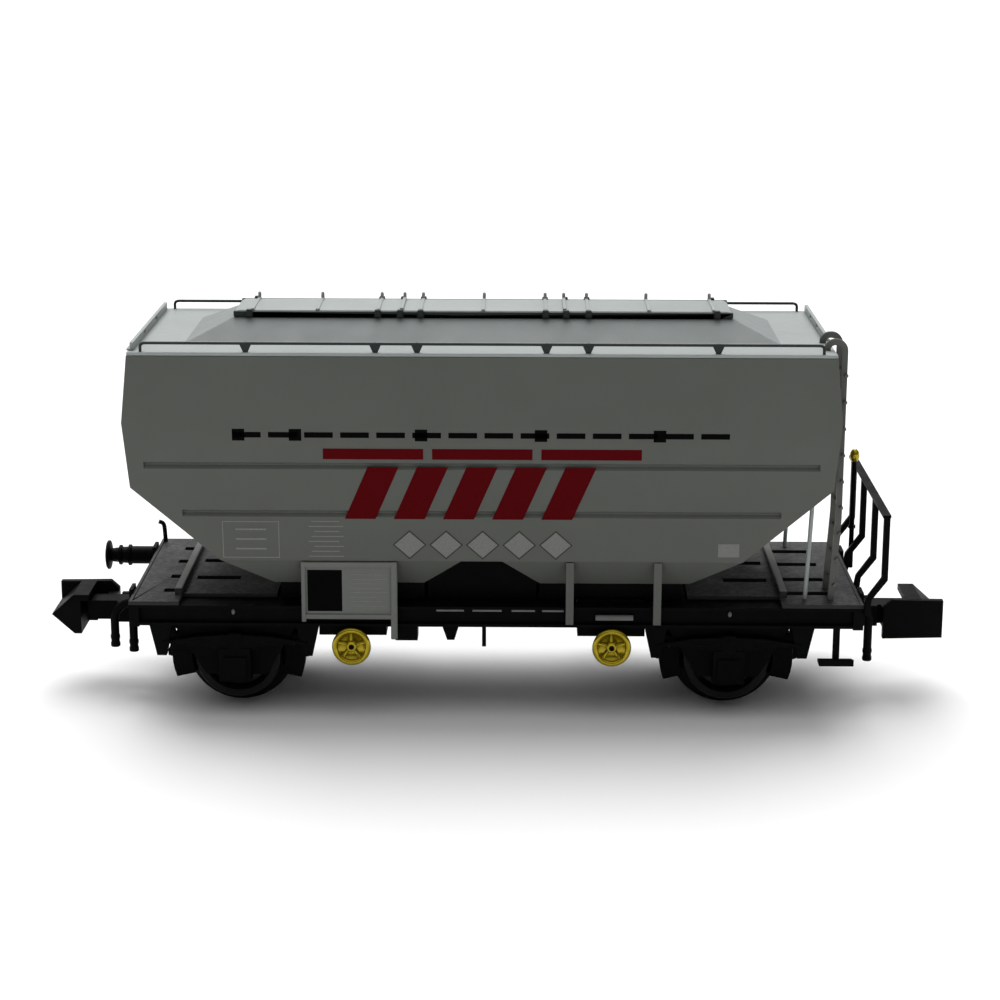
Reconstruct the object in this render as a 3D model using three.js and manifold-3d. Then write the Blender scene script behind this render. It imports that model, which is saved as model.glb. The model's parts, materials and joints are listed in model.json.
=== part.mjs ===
// Two-axle grain hopper wagon in N gauge (1:160, 9 mm track), in millimetres, +Z up.
// +X points to the end with the brake platform. "front" is the -Y side, "back" the +Y side.
// Pieces are drawn about the middle of the wheelbase at rail height; the whole wagon is then
// moved so that the origin lies at the middle of its footprint, under the wheel flanges.

import * as THREE from 'three';
import { mergeVertices } from 'three/addons/utils/BufferGeometryUtils.js';
import Module from 'manifold-3d';

const wasm = await Module();
wasm.setup();

// ---------------------------------------------------------------- driving dimensions
const WHEELBASE = 34.34;
const AXLE_X = WHEELBASE / 2;
const TREAD_RADIUS = 3.1;
const FLANGE_DEPTH = 0.75;
const FLANGE_RADIUS = TREAD_RADIUS + FLANGE_DEPTH;
const BACK_TO_BACK = 7.4;
const WHEEL_WIDTH = 2.2;
const WHEEL_BACK = BACK_TO_BACK / 2;
const WHEEL_FACE = WHEEL_BACK + WHEEL_WIDTH;
const AXLE_RADIUS = 0.5;
const AXLE_LENGTH = 15.0;
const RUNNING_GAP = 0.04;

const PLAIN_HEADSTOCK_X = -24.42;
const PLATFORM_HEADSTOCK_X = 26.37;
const COUPLER_REACH = 6.6;
const COUPLER_Z = 4.85;
const COUPLER_PIVOT = 3.2;
const HEAD_PIN = { x: 1.3, radius: 0.22 };

const FRAME_BOTTOM = 6.0;
const FRAME_TOP = 7.45;
const DECK_TOP = 7.73;
const DECK_HALF_WIDTH = 8.2;
const DECK_INNER_END = 14.3;
const END_PLATE = 2.1;
const DECK_LENGTH = { plain: 3.5, platform: 5.65 };
const SOLEBAR_WEB = [7.3, 7.8];
const SOLEBAR_FLANGE = [7.3, 8.2];
const FLANGE_THICKNESS = 0.2;
const HEADSTOCK_THICKNESS = 0.7;
const PLATE_THICKNESS = 0.3;
const SADDLE_HALF_Y = 6.2;
const SCREW_Y = 3.5;

const SLOPE_FOOT = { x: 17.9, y: 8.5, z: 10.81 };
const WALL_FOOT = { x: 23.9, z: 16.0 };
const FOLD = { x: 24.29, y: 9.2, z: 20.56 };
const EAVES = { x: 23.88, y: 8.6, z: 25.31 };
const SHELL_WALL = 0.7;
const GROOVES = [{ z: 17.6, halfLength: 22.9 }, { z: 14.2, halfLength: 20.4 }];
const GROOVE_HEIGHT = 0.5;
const GROOVE_DEPTH = 0.2;
const ROOF_EDGE = 0.25;
const COAMING_FOOT = { x: 20.3, y: 4.7 };
const COAMING_TOP = { x: 17.35, y: 2.65, z: 26.68 };
const COVER_TOP = 27.2;
const COVER = { halfX: 17.2, halfY: 2.45 };
const STRAP_X = [16.0, 11.5, 7.27, 5.65, 4.33];

const OUTLET = { x: 9.2, halfX: 5.2, halfY: 6.9 };
const MOUTH = { x: 9.65, halfX: 8.25, halfY: 8.48 };
const PLUG_HEIGHT = 0.8;
const GATE_X = 9.0;
const DUCT_HALF_X = 2.35;
const CHUTE_FOOT_Z = 8.8;
const HANDWHEEL_Z = 4.66;
const HANDWHEEL_RADIUS = 1.37;
const BOSS_END = 7.9;
const SPIGOT_RADIUS = 0.22;
const SCREW_RADIUS = 0.4;
const HOSES = {
  plain: [{ reach: 0.58, bottom: 2.45 }, { reach: 1.85, bottom: 2.9 }],
  platform: [{ reach: 1.12, bottom: 2.05 }],
};
const PANEL = { left: -12.4, right: -5.8, bottom: 6.62, top: 10.5 };
const BUFFER = { y: 5.48, z: 7.2, spigot: 0.34 };

const ENDS = [
  { name: 'plain', out: -1, headstock: PLAIN_HEADSTOCK_X },
  { name: 'platform', out: 1, headstock: PLATFORM_HEADSTOCK_X },
];
const SIDES = [
  { name: 'front', out: -1 },
  { name: 'back', out: 1 },
];

// ---------------------------------------------------------------- finishes
const FINISHES = {
  bodyGrey: { color: 0x8d8c85, roughness: 0.5, metalness: 0 },
  roofGrey: { color: 0xa3aaa8, roughness: 0.5, metalness: 0 },
  sealGrey: { color: 0x3a4140, roughness: 0.6, metalness: 0 },
  frameBlack: { color: 0x141615, roughness: 0.55, metalness: 0 },
  deckGrey: { color: 0x4a504e, roughness: 0.5, metalness: 0 },
  wheelBlack: { color: 0x2b2d2d, roughness: 0.35, metalness: 0.6 },
  steel: { color: 0x8f9496, roughness: 0.35, metalness: 1 },
  yellow: { color: 0xc9b31c, roughness: 0.25, metalness: 0.3 },
};

// ---------------------------------------------------------------- shape helpers
function solid(geometry) {
  const bare = geometry.clone();
  bare.deleteAttribute('normal');
  bare.deleteAttribute('uv');
  const merged = mergeVertices(bare, 1e-4);
  const corners = merged.index.array;
  const triangles = [];
  for (let i = 0; i < corners.length; i += 3) {
    const [a, b, c] = [corners[i], corners[i + 1], corners[i + 2]];
    if (a !== b && b !== c && c !== a) {
      triangles.push(a, b, c);
    }
  }
  return new wasm.Manifold(new wasm.Mesh({
    numProp: 3,
    vertProperties: new Float32Array(merged.attributes.position.array),
    triVerts: new Uint32Array(triangles),
  }));
}

function geometryOf(manifold) {
  const mesh = manifold.getMesh();
  const geometry = new THREE.BufferGeometry();
  geometry.setAttribute('position', new THREE.BufferAttribute(mesh.vertProperties, 3));
  geometry.setIndex(new THREE.BufferAttribute(mesh.triVerts, 1));
  geometry.computeVertexNormals();
  return geometry;
}

function join(...pieces) {
  return geometryOf(pieces.map(solid).reduce((whole, piece) => whole.add(piece)));
}

function cut(piece, ...tools) {
  return geometryOf(tools.map(solid).reduce((whole, tool) => whole.subtract(tool), solid(piece)));
}

function overlap(piece, other) {
  return geometryOf(solid(piece).intersect(solid(other)));
}

// Two limits in rising order.
function span(a, b) {
  return a < b ? [a, b] : [b, a];
}

function block([x0, x1], [y0, y1], [z0, z1]) {
  const geometry = new THREE.BoxGeometry(x1 - x0, y1 - y0, z1 - z0);
  return geometry.translate((x0 + x1) / 2, (y0 + y1) / 2, (z0 + z1) / 2);
}

// A round bar between two points.
function rod(from, to, radius, sides = 12) {
  const start = new THREE.Vector3(...from);
  const end = new THREE.Vector3(...to);
  const geometry = new THREE.CylinderGeometry(radius, radius, start.distanceTo(end), sides);
  const turn = new THREE.Quaternion().setFromUnitVectors(
    new THREE.Vector3(0, 1, 0),
    end.clone().sub(start).normalize(),
  );
  geometry.applyQuaternion(turn);
  const middle = start.add(end).multiplyScalar(0.5);
  return geometry.translate(middle.x, middle.y, middle.z);
}

function extruded(outline, depth) {
  const shape = new THREE.Shape(outline.map(([a, b]) => new THREE.Vector2(a, b)));
  return new THREE.ExtrudeGeometry(shape, { depth, bevelEnabled: false });
}

// An outline of [x, z] points, extruded along Y.
function sideProfile(outline, [y0, y1]) {
  const geometry = extruded(outline, y1 - y0);
  return geometry.rotateX(Math.PI / 2).translate(0, y1, 0);
}

// An outline of [y, z] points, extruded along X.
function crossProfile(outline, [x0, x1]) {
  const axes = new THREE.Matrix4().makeBasis(
    new THREE.Vector3(0, 1, 0),
    new THREE.Vector3(0, 0, 1),
    new THREE.Vector3(1, 0, 0),
  );
  return extruded(outline, x1 - x0).applyMatrix4(axes).translate(x0, 0, 0);
}

// A profile of [radius, y] points turned about the Y axis.
function turned(profile, sides) {
  return new THREE.LatheGeometry(profile.map(([r, y]) => new THREE.Vector2(r, y)), sides);
}

// A round bar bent along a line of points, without rounding its corners.
function bentWire(points, radius, sides = 8) {
  const lengths = points.slice(1).map((point, i) => rod(points[i], point, radius, sides));
  const knuckles = points.slice(1, -1).map((point) =>
    new THREE.SphereGeometry(radius, sides, sides / 2).translate(...point));
  return join(...lengths, ...knuckles);
}

// The outline of a flat strip of even width that follows a line of [a, b] points.
function ribbon(points, width) {
  const line = points.map(([a, b]) => new THREE.Vector2(a, b));
  const edge = (sign) => line.map((point, i) => {
    const before = line[Math.max(i - 1, 0)];
    const after = line[Math.min(i + 1, line.length - 1)];
    const along = after.clone().sub(before).normalize();
    return [point.x - sign * along.y * width / 2, point.y + sign * along.x * width / 2];
  });
  return [...edge(1), ...edge(-1).reverse()];
}

// A tapering block between two level rectangles, each with its own middle x.
function frustum(foot, top) {
  const corners = [];
  for (const { x, halfX, halfY, z } of [foot, top]) {
    corners.push([x - halfX, -halfY, z], [x + halfX, -halfY, z]);
    corners.push([x + halfX, halfY, z], [x - halfX, halfY, z]);
  }
  const faces = [0, 2, 1, 0, 3, 2, 4, 5, 6, 4, 6, 7];
  for (let i = 0; i < 4; i += 1) {
    const next = (i + 1) % 4;
    faces.push(i, next, next + 4, i, next + 4, i + 4);
  }
  const geometry = new THREE.BufferGeometry();
  geometry.setAttribute('position', new THREE.Float32BufferAttribute(corners.flat(), 3));
  geometry.setIndex(faces);
  return geometry;
}

// ---------------------------------------------------------------- assembly helpers
const wagon = new THREE.Group();
wagon.position.set(-(PLAIN_HEADSTOCK_X + PLATFORM_HEADSTOCK_X) / 2, 0, FLANGE_DEPTH);

function addPiece(name, geometry, finish, { x = 0, y = 0, z = 0, halfTurn = false } = {}) {
  const mesh = new THREE.Mesh(
    geometryOf(solid(geometry)),
    new THREE.MeshStandardMaterial(FINISHES[finish]),
  );
  mesh.name = name;
  mesh.position.set(x, y, z);
  mesh.rotation.z = halfTurn ? Math.PI : 0;
  wagon.add(mesh);
}

// ---------------------------------------------------------------- hopper body
function bodyOutline(inset) {
  const side = [
    [SLOPE_FOOT.x - inset * 1.6, SLOPE_FOOT.z],
    [WALL_FOOT.x - inset, WALL_FOOT.z + inset * 0.4],
    [FOLD.x - inset, FOLD.z],
    [EAVES.x - inset, EAVES.z],
  ];
  const section = [
    [SLOPE_FOOT.y - inset, SLOPE_FOOT.z],
    [FOLD.y - inset, FOLD.z],
    [EAVES.y - inset, EAVES.z],
  ];
  const mirrored = (points) => points.map(([a, b]) => [-a, b]).reverse();
  return overlap(
    sideProfile([...side, ...mirrored(side)], [-FOLD.y - 1, FOLD.y + 1]),
    crossProfile([...section, ...mirrored(section)], [-FOLD.x - 1, FOLD.x + 1]),
  );
}

function makeBodyShell() {
  const aboveEaves = block([-30, 30], [-12, 12], [EAVES.z - ROOF_EDGE, EAVES.z + 5]);
  const cavity = join(
    bodyOutline(SHELL_WALL),
    block(
      [-SLOPE_FOOT.x + SHELL_WALL * 1.6, SLOPE_FOOT.x - SHELL_WALL * 1.6],
      [-SLOPE_FOOT.y + SHELL_WALL, SLOPE_FOOT.y - SHELL_WALL],
      [SLOPE_FOOT.z - 1, SLOPE_FOOT.z + 0.2],
    ),
  );
  const grooves = GROOVES.flatMap(({ z, halfLength }) => {
    const rise = (z - SLOPE_FOOT.z) / (FOLD.z - SLOPE_FOOT.z);
    const wallY = SLOPE_FOOT.y + (FOLD.y - SLOPE_FOOT.y) * rise;
    const half = GROOVE_HEIGHT / 2;
    return SIDES.map(({ out }) => crossProfile([
      [out * (wallY + 1), z + half],
      [out * wallY, z + half],
      [out * (wallY - GROOVE_DEPTH), z + half * 0.4],
      [out * (wallY - GROOVE_DEPTH), z],
      [out * wallY, z - half],
      [out * (wallY + 1), z - half],
    ], [-halfLength, halfLength]));
  });
  return cut(bodyOutline(0), aboveEaves, cavity, ...grooves);
}

function makeRoof() {
  const edgeZ = EAVES.z - ROOF_EDGE;
  const plug = 0.05 + SHELL_WALL;
  return join(
    block([-EAVES.x, EAVES.x], [-EAVES.y, EAVES.y], [edgeZ, EAVES.z]),
    block([-EAVES.x + plug, EAVES.x - plug], [-EAVES.y + plug, EAVES.y - plug], [edgeZ - 0.8, edgeZ]),
    frustum(
      { x: 0, halfX: COAMING_FOOT.x, halfY: COAMING_FOOT.y, z: EAVES.z },
      { x: 0, halfX: COAMING_TOP.x, halfY: COAMING_TOP.y, z: COAMING_TOP.z },
    ),
  );
}

function makeHatchCover() {
  const [seat, crown] = [COAMING_TOP.z, COVER_TOP];
  const shoulder = 0.35;
  const cover = crossProfile([
    [-COVER.halfY, seat],
    [COVER.halfY, seat],
    [COVER.halfY, crown - 0.15],
    [COVER.halfY - shoulder, crown],
    [-COVER.halfY + shoulder, crown],
    [-COVER.halfY, crown - 0.15],
  ], [-COVER.halfX, COVER.halfX]);
  const straps = [];
  const lugHeight = 0.45;
  for (const x of [...STRAP_X, 0, ...STRAP_X.map((value) => -value)]) {
    const across = [x - 0.12, x + 0.12];
    straps.push(block(across, [-COVER.halfY, COVER.halfY], [crown - 0.2, crown + 0.08]));
    straps.push(block(across, [COVER.halfY - 0.3, COVER.halfY], [seat + 0.1, crown + lugHeight]));
  }
  return join(cover, ...straps);
}

// Drawn for the front edge of the cover.
function makeHatchSeal() {
  const inner = -COVER.halfY;
  const outer = inner - 0.3;
  const bar = block([-COVER.halfX - 0.1, COVER.halfX + 0.1], [outer, inner], [COAMING_TOP.z + 0.02, 27.1]);
  const knobs = [];
  for (const x of [16.2, 7.3, 5.75, 4.33]) {
    for (const out of [-1, 1]) {
      const across = [x * out - 0.2, x * out + 0.2];
      knobs.push(block(across, [outer - 0.18, inner - 0.1], [COAMING_TOP.z + 0.05, 27.25]));
    }
  }
  return join(bar, ...knobs);
}

// A thin rail along the front eaves on trapezoidal brackets.
function makeRoofRail() {
  const y = -8.35;
  const railZ = EAVES.z + 0.58;
  const end = 22.95;
  const radius = 0.11;
  const rail = bentWire([
    [-end, y, EAVES.z],
    [-end, y, railZ],
    [end, y, railZ],
    [end, y, EAVES.z],
  ], radius);
  const brackets = [15.88, 7.16, 4.35].flatMap((x) => [x, -x]).map((x) => sideProfile([
    [x - 0.2, EAVES.z],
    [x + 0.2, EAVES.z],
    [x + 0.45, railZ],
    [x - 0.45, railZ],
  ], [y - 0.07, y + 0.07]));
  return join(rail, ...brackets);
}

// An upright board along the end of the roof, with two hand holes.
function makeRoofEndBoard([y0, y1]) {
  const board = block([-0.12, 0.12], [y0, y1], [EAVES.z, EAVES.z + 0.55]);
  const foot = block([-0.35, 0.12], [y0, y1], [EAVES.z, EAVES.z + 0.12]);
  const third = (y1 - y0) / 3;
  const holes = [y0 + third, y1 - third].map((y) =>
    block([-1, 1], [y - 0.45, y + 0.45], [EAVES.z + 0.22, EAVES.z + 0.42]));
  return cut(join(board, foot), ...holes);
}

// The plate that closes the underside of the body, with its two discharge chutes.
function makeHopperBottom() {
  const wall = 0.6;
  const gap = 0.05;
  const plugX = SLOPE_FOOT.x - SHELL_WALL * 1.6 - gap;
  const plugY = SLOPE_FOOT.y - SHELL_WALL - gap;
  const plug = block([-plugX, plugX], [-plugY, plugY], [SLOPE_FOOT.z, SLOPE_FOOT.z + PLUG_HEIGHT]);
  const chutes = [];
  const hollows = [];
  for (const side of [-1, 1]) {
    const outlet = { x: side * OUTLET.x, halfX: OUTLET.halfX, halfY: OUTLET.halfY, z: CHUTE_FOOT_Z };
    const mouth = { x: side * MOUTH.x, halfX: MOUTH.halfX, halfY: MOUTH.halfY, z: SLOPE_FOOT.z };
    const inside = (rectangle, z) => ({
      x: rectangle.x,
      halfX: rectangle.halfX - wall,
      halfY: rectangle.halfY - wall,
      z,
    });
    chutes.push(frustum(outlet, mouth));
    hollows.push(frustum(inside(outlet, CHUTE_FOOT_Z + wall), inside(mouth, SLOPE_FOOT.z)));
    hollows.push(block(
      [mouth.x - mouth.halfX + 2 * wall, mouth.x + mouth.halfX - 3 * wall],
      [-plugY + wall, plugY - wall],
      [SLOPE_FOOT.z - gap, SLOPE_FOOT.z + PLUG_HEIGHT + gap],
    ));
  }
  return cut(join(plug, ...chutes), ...hollows);
}

// ---------------------------------------------------------------- outside fittings
// Upright front post between the solebar and the side sheet; its head follows the chute.
function makeStanchion() {
  return crossProfile([
    [-8.2, 6.3],
    [-8.2, 10.35],
    [-8.5, 10.75],
    [-8.55, 10.75],
    [-8.55, 6.3],
  ], [-0.27, 0.27]);
}

function makeSignPanel() {
  const front = -8.62;
  const back = -8.25;
  const sheet = block([PANEL.left, PANEL.right], [front + 0.12, back], [PANEL.bottom, PANEL.top - 0.25]);
  const frame = cut(
    block([PANEL.left, PANEL.right], [front, back], [PANEL.bottom, PANEL.top - 0.2]),
    block([PANEL.left + 0.3, PANEL.right - 0.3], [front - 1, front + 0.12], [7.05, PANEL.top - 0.35]),
  );
  const leg = block([PANEL.right - 0.45, PANEL.right], [front, back], [5.2, PANEL.top - 0.3]);
  const head = crossProfile([
    [back, 10.2],
    [back, 10.42],
    [-8.5, 10.75],
    [front, 10.75],
    [front, 10.2],
  ], [PANEL.left, PANEL.right]);
  return join(sheet, frame, leg, head);
}

function makeEndLadder() {
  const [near, far] = [-7.0, -4.0];
  const width = 0.28;
  const depth = 0.42;
  const x = 24.56;
  const bendZ = 13.5;
  const lean = 0.35;
  const top = EAVES.z + 0.6;
  const stringers = [near, far].map((y) => sideProfile(ribbon([
    [x - lean, DECK_TOP],
    [x, bendZ],
    [x, top - 0.3],
    [x - 0.3, top],
    [x - 0.9, top],
    [x - 1.2, top - 0.3],
    [x - 1.2, EAVES.z],
  ], depth), [y - width / 2, y + width / 2]));
  const rungs = [];
  const pitch = 1.85;
  for (let z = DECK_TOP + 1.1; z < top - 0.6; z += pitch) {
    const rungX = x + 0.14 - lean * Math.max(0, (bendZ - z) / (bendZ - DECK_TOP));
    rungs.push(rod([rungX, near - 0.2, z], [rungX, far + 0.2, z], 0.13, 6));
  }
  return join(...stringers, ...rungs);
}

function makeStayPost() {
  return bentWire([[22.45, 0, DECK_TOP], [22.75, 0, 14.6]], 0.15);
}

// ---------------------------------------------------------------- underframe
function makeUnderframe() {
  const [x0, x1] = [PLAIN_HEADSTOCK_X, PLATFORM_HEADSTOCK_X];
  const depth = [FRAME_BOTTOM, FRAME_TOP];
  const girder = [-1.2, 1.2];
  const padThickness = 0.25;
  const pieces = [];
  const sockets = [];
  for (const { out } of SIDES) {
    const bothWays = ([a, b]) => span(a * out, b * out);
    pieces.push(block([x0, x1], bothWays(SOLEBAR_WEB), depth));
    const flange = bothWays(SOLEBAR_FLANGE);
    pieces.push(block([x0, x1], flange, [FRAME_TOP - FLANGE_THICKNESS, FRAME_TOP]));
    pieces.push(block([x0, x1], flange, [FRAME_BOTTOM, FRAME_BOTTOM + FLANGE_THICKNESS]));
  }
  for (const { headstock, out } of ENDS) {
    const face = span(headstock, headstock - out * HEADSTOCK_THICKNESS);
    pieces.push(block(face, [-8.2, 8.2], [FRAME_BOTTOM - 0.1, FRAME_TOP]));
    for (const side of SIDES) {
      const inward = span(headstock - out * 0.1, headstock + out * padThickness);
      const outward = span(headstock, headstock + out * padThickness);
      const y = side.out * BUFFER.y;
      const socket = rod([headstock - 1, y, BUFFER.z], [headstock + 1, y, BUFFER.z], BUFFER.spigot + 0.02);
      const pad = join(
        block(inward, [y - 0.8, y + 0.8], [FRAME_BOTTOM, FRAME_TOP - 0.1]),
        block(outward, [y - 0.8, y + 0.8], [FRAME_BOTTOM, 8.0]),
      );
      sockets.push(socket);
      pieces.push(pad);
    }
  }
  const besideGate = GATE_X + DUCT_HALF_X + 0.4;
  const betweenGates = GATE_X - DUCT_HALF_X - 0.4;
  for (const x of [-besideGate, -betweenGates, betweenGates, besideGate]) {
    pieces.push(block([x - 0.25, x + 0.25], [-7.4, 7.4], depth));
  }
  for (const [from, to] of [[x0, -besideGate], [-betweenGates, betweenGates], [besideGate, x1]]) {
    pieces.push(block([from, to], girder, depth));
  }
  const plateDepth = [FRAME_TOP - PLATE_THICKNESS, FRAME_TOP];
  pieces.push(cut(
    block([x0 + 0.1, x1 - 0.1], [-SOLEBAR_WEB[0] - 0.1, SOLEBAR_WEB[0] + 0.1], plateDepth),
    ...ENDS.map(({ out }) => {
      const opening = DUCT_HALF_X + 0.05;
      const middle = out * GATE_X;
      return block([middle - opening, middle + opening], [-7.05, 7.05], [FRAME_BOTTOM, FRAME_TOP + 1]);
    }),
  ));
  pieces.push(frustum(
    { x: 0, halfX: OUTLET.x - OUTLET.halfX - 0.25, halfY: SADDLE_HALF_Y, z: FRAME_TOP - PLATE_THICKNESS },
    { x: 0, halfX: OUTLET.x - OUTLET.halfX - 0.25, halfY: SADDLE_HALF_Y, z: CHUTE_FOOT_Z },
  ));
  pieces.push(frustum(
    { x: 0, halfX: OUTLET.x - OUTLET.halfX - 0.25, halfY: SADDLE_HALF_Y, z: CHUTE_FOOT_Z - 0.01 },
    { x: 0, halfX: MOUTH.x - MOUTH.halfX - 0.25, halfY: SADDLE_HALF_Y, z: SLOPE_FOOT.z - 0.02 },
  ));
  for (const { out } of SIDES) {
    pieces.push(rod([0, out * SCREW_Y, FRAME_BOTTOM], [0, out * SCREW_Y, SLOPE_FOOT.z], 0.9, 16));
    pieces.push(block(girder, span(0, out * SCREW_Y), depth));
    const face = (a, b) => span(a * out, b * out);
    pieces.push(block([-6.0, -4.45], face(6.2, 7.7), [4.85, 6.2]));
    pieces.push(sideProfile([[-2.85, 6.2], [-1.5, 6.2], [-1.9, 4.9], [-2.4, 4.9]], face(7.2, 7.7)));
    pieces.push(block([0.02, 0.3], face(7.3, 7.6), [4.4, 6.2]));
  }
  for (const { headstock, out } of ENDS) {
    const pivot = headstock - out * COUPLER_PIVOT;
    pieces.push(rod([pivot, 0, COUPLER_Z - 0.75], [pivot, 0, FRAME_BOTTOM + 0.2], 0.4));
  }
  const screwHoles = SIDES.map(({ out }) =>
    rod(
      [0, out * SCREW_Y, FRAME_BOTTOM - 1],
      [0, out * SCREW_Y, SLOPE_FOOT.z + 1],
      SCREW_RADIUS + 0.05,
      16,
    ));
  return cut(join(...pieces), ...screwHoles, ...sockets);
}

function makeChassisScrew() {
  const length = SLOPE_FOOT.z - FRAME_BOTTOM;
  const shank = rod([0, 0, -0.2], [0, 0, length], SCREW_RADIUS, 16);
  const head = rod([0, 0, -0.5], [0, 0, 0], 0.75, 16);
  const slot = block([-1, 1], [-0.09, 0.09], [-0.6, -0.3]);
  return cut(join(shank, head), slot);
}

// Drawn with its outer end towards +X, measured inwards from the headstock at x = 0.
// The full-width part carries the bearer; a narrower tongue runs on under the hopper.
function makeEndDeck(fullLength, total) {
  const thickness = [FRAME_TOP, DECK_TOP];
  const through = [FRAME_TOP - 1, DECK_TOP + 1];
  const wide = block([-fullLength, 0], [-DECK_HALF_WIDTH, DECK_HALF_WIDTH], thickness);
  const tongue = block([-total, -fullLength + 0.1], [-6.2, 6.2], thickness);
  const bearer = block([-fullLength, -fullLength + 0.5], [-6.6, 6.6], [FRAME_TOP, DECK_TOP + 0.45]);
  const slots = [];
  for (const y of [-5.4, -1.95, 1.95, 5.4]) {
    slots.push(block([-fullLength + 0.6, -END_PLATE], [y - 0.42, y + 0.42], through));
  }
  for (const y of [-2.2, 2.2]) {
    slots.push(block([-fullLength - 3.6, -fullLength - 0.5], [y - 0.42, y + 0.42], through));
  }
  const seamHalf = DECK_HALF_WIDTH - 0.35;
  const seam = block([-0.3, -0.22], [-seamHalf, seamHalf], [DECK_TOP - 0.08, DECK_TOP + 1]);
  return cut(join(wide, tongue, bearer), ...slots, seam);
}

// W-iron with axle box and leaf spring for the front side, about the axle's centre line.
function makeAxleGuard() {
  const plateY = [-7.3, -6.75];
  const plate = sideProfile([
    [-4.4, FRAME_BOTTOM],
    [-2.1, 2.2],
    [2.1, 2.2],
    [4.4, FRAME_BOTTOM],
  ], plateY);
  const box = block([-1.1, 1.1], [-8.15, -6.75], [1.9, 4.3]);
  const lid = block([-0.8, 0.8], [-8.3, -8.15], [2.2, 3.7]);
  const springY = [-8.05, -7.25];
  const leaves = [];
  const leafCount = 5;
  const leafThickness = 0.2;
  for (let i = 0; i < leafCount; i += 1) {
    const half = 5.0 - i * 0.85;
    const top = 5.3 - i * leafThickness;
    const sag = 0.55 * (half / 5.0) ** 2;
    leaves.push(sideProfile([
      [-half, top - sag],
      [-half * 0.5, top - sag * 0.25],
      [0, top],
      [half * 0.5, top - sag * 0.25],
      [half, top - sag],
      [half, top - sag - leafThickness],
      [half * 0.5, top - sag * 0.25 - leafThickness],
      [0, top - leafThickness],
      [-half * 0.5, top - sag * 0.25 - leafThickness],
      [-half, top - sag - leafThickness],
    ], springY));
  }
  const buckle = block([-0.45, 0.45], [-8.15, -7.25], [4.1, 5.4]);
  const brackets = [-1, 1].map((out) => sideProfile([
    [out * 4.3, FRAME_BOTTOM],
    [out * 4.75, 3.75],
    [out * 5.4, 3.75],
    [out * 5.9, FRAME_BOTTOM],
  ], [-7.95, -7.3]));
  const cupDepth = AXLE_LENGTH / 2 - 6.4;
  const cup = turned([
    [0, -(AXLE_LENGTH / 2 + 0.1)],
    [AXLE_RADIUS + 0.1, -(AXLE_LENGTH / 2 - cupDepth)],
    [AXLE_RADIUS + 0.1, -6.0],
    [0, -6.0],
  ], 16).translate(0, 0, TREAD_RADIUS);
  return cut(join(plate, box, lid, ...leaves, buckle, ...brackets), cup);
}

// Brake beam with two hangers and shoes, on the +X side of an axle.
function makeBrakeRigging() {
  const shoeInner = TREAD_RADIUS + 0.2;
  const shoeOuter = FLANGE_RADIUS + 0.85;
  const shoeOutline = [];
  const steps = 6;
  for (let i = 0; i <= steps; i += 1) {
    const angle = THREE.MathUtils.lerp(-0.42, 0.42, i / steps);
    shoeOutline.push([shoeInner * Math.cos(angle), TREAD_RADIUS + shoeInner * Math.sin(angle)]);
  }
  for (let i = steps; i >= 0; i -= 1) {
    const angle = THREE.MathUtils.lerp(-0.36, 0.36, i / steps);
    shoeOutline.push([shoeOuter * Math.cos(angle), TREAD_RADIUS + shoeOuter * Math.sin(angle)]);
  }
  const pieces = SIDES.flatMap(({ out }) => {
    const y = span(out * 4.5, out * 5.7);
    const hangerY = span(out * 4.8, out * 5.2);
    return [
      sideProfile(shoeOutline, y),
      block([shoeOuter - 0.2, shoeOuter + 0.2], hangerY, [TREAD_RADIUS - 0.3, FRAME_TOP - PLATE_THICKNESS - 0.02]),
    ];
  });
  const beamDepth = [TREAD_RADIUS - 0.25, TREAD_RADIUS + 0.2];
  const beam = block([shoeOuter - 0.1, shoeOuter + 0.35], [-5.2, 5.2], beamDepth);
  return join(beam, ...pieces);
}

function makeFootstep() {
  const stem = block([-0.24, 0.24], [-8.0, -7.8], [3.5, FRAME_BOTTOM]);
  const tread = block([-1.2, 1.2], [-8.45, -7.35], [3.35, 3.6]);
  const lip = block([-1.2, 1.2], [-8.45, -8.3], [3.35, 3.85]);
  return join(stem, tread, lip);
}

// ---------------------------------------------------------------- discharge gear

function makeDischargeGate() {
  const hopperFrame = block([-5.0, 5.0], [-6.4, 6.4], [FRAME_TOP + 0.02, CHUTE_FOOT_Z]);
  const duct = block([-DUCT_HALF_X, DUCT_HALF_X], [-7.0, 7.0], [5.0, FRAME_TOP + 0.2]);
  const bosses = SIDES.map(({ out }) =>
    rod([0, out * 6.2, HANDWHEEL_Z], [0, out * BOSS_END, HANDWHEEL_Z], 0.5, 16));
  const bores = SIDES.map(({ out }) =>
    rod([0, out * 6.4, HANDWHEEL_Z], [0, out * 9, HANDWHEEL_Z], SPIGOT_RADIUS + RUNNING_GAP, 16));
  return cut(join(hopperFrame, duct, ...bosses), ...bores);
}

// Spoked handwheel on its spigot, axis along Y, facing the front.
function makeHandwheel() {
  const rimY = -8.55;
  const rimWire = 0.2;
  const rim = new THREE.TorusGeometry(HANDWHEEL_RADIUS - rimWire, rimWire, 6, 18)
    .rotateX(Math.PI / 2)
    .translate(0, rimY, 0);
  const hub = rod([0, rimY - 0.22, 0], [0, -BOSS_END - RUNNING_GAP, 0], 0.36, 12);
  const spigot = rod([0, -6.6, 0], [0, rimY, 0], SPIGOT_RADIUS, 12);
  const spokes = [];
  const spokeCount = 5;
  for (let i = 0; i < spokeCount; i += 1) {
    const angle = Math.PI / 2 + (i * 2 * Math.PI) / spokeCount;
    const reach = HANDWHEEL_RADIUS - rimWire;
    spokes.push(rod([0, rimY, 0], [reach * Math.cos(angle), rimY, reach * Math.sin(angle)], 0.11, 6));
  }
  return join(rim, hub, spigot, ...spokes);
}

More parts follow.
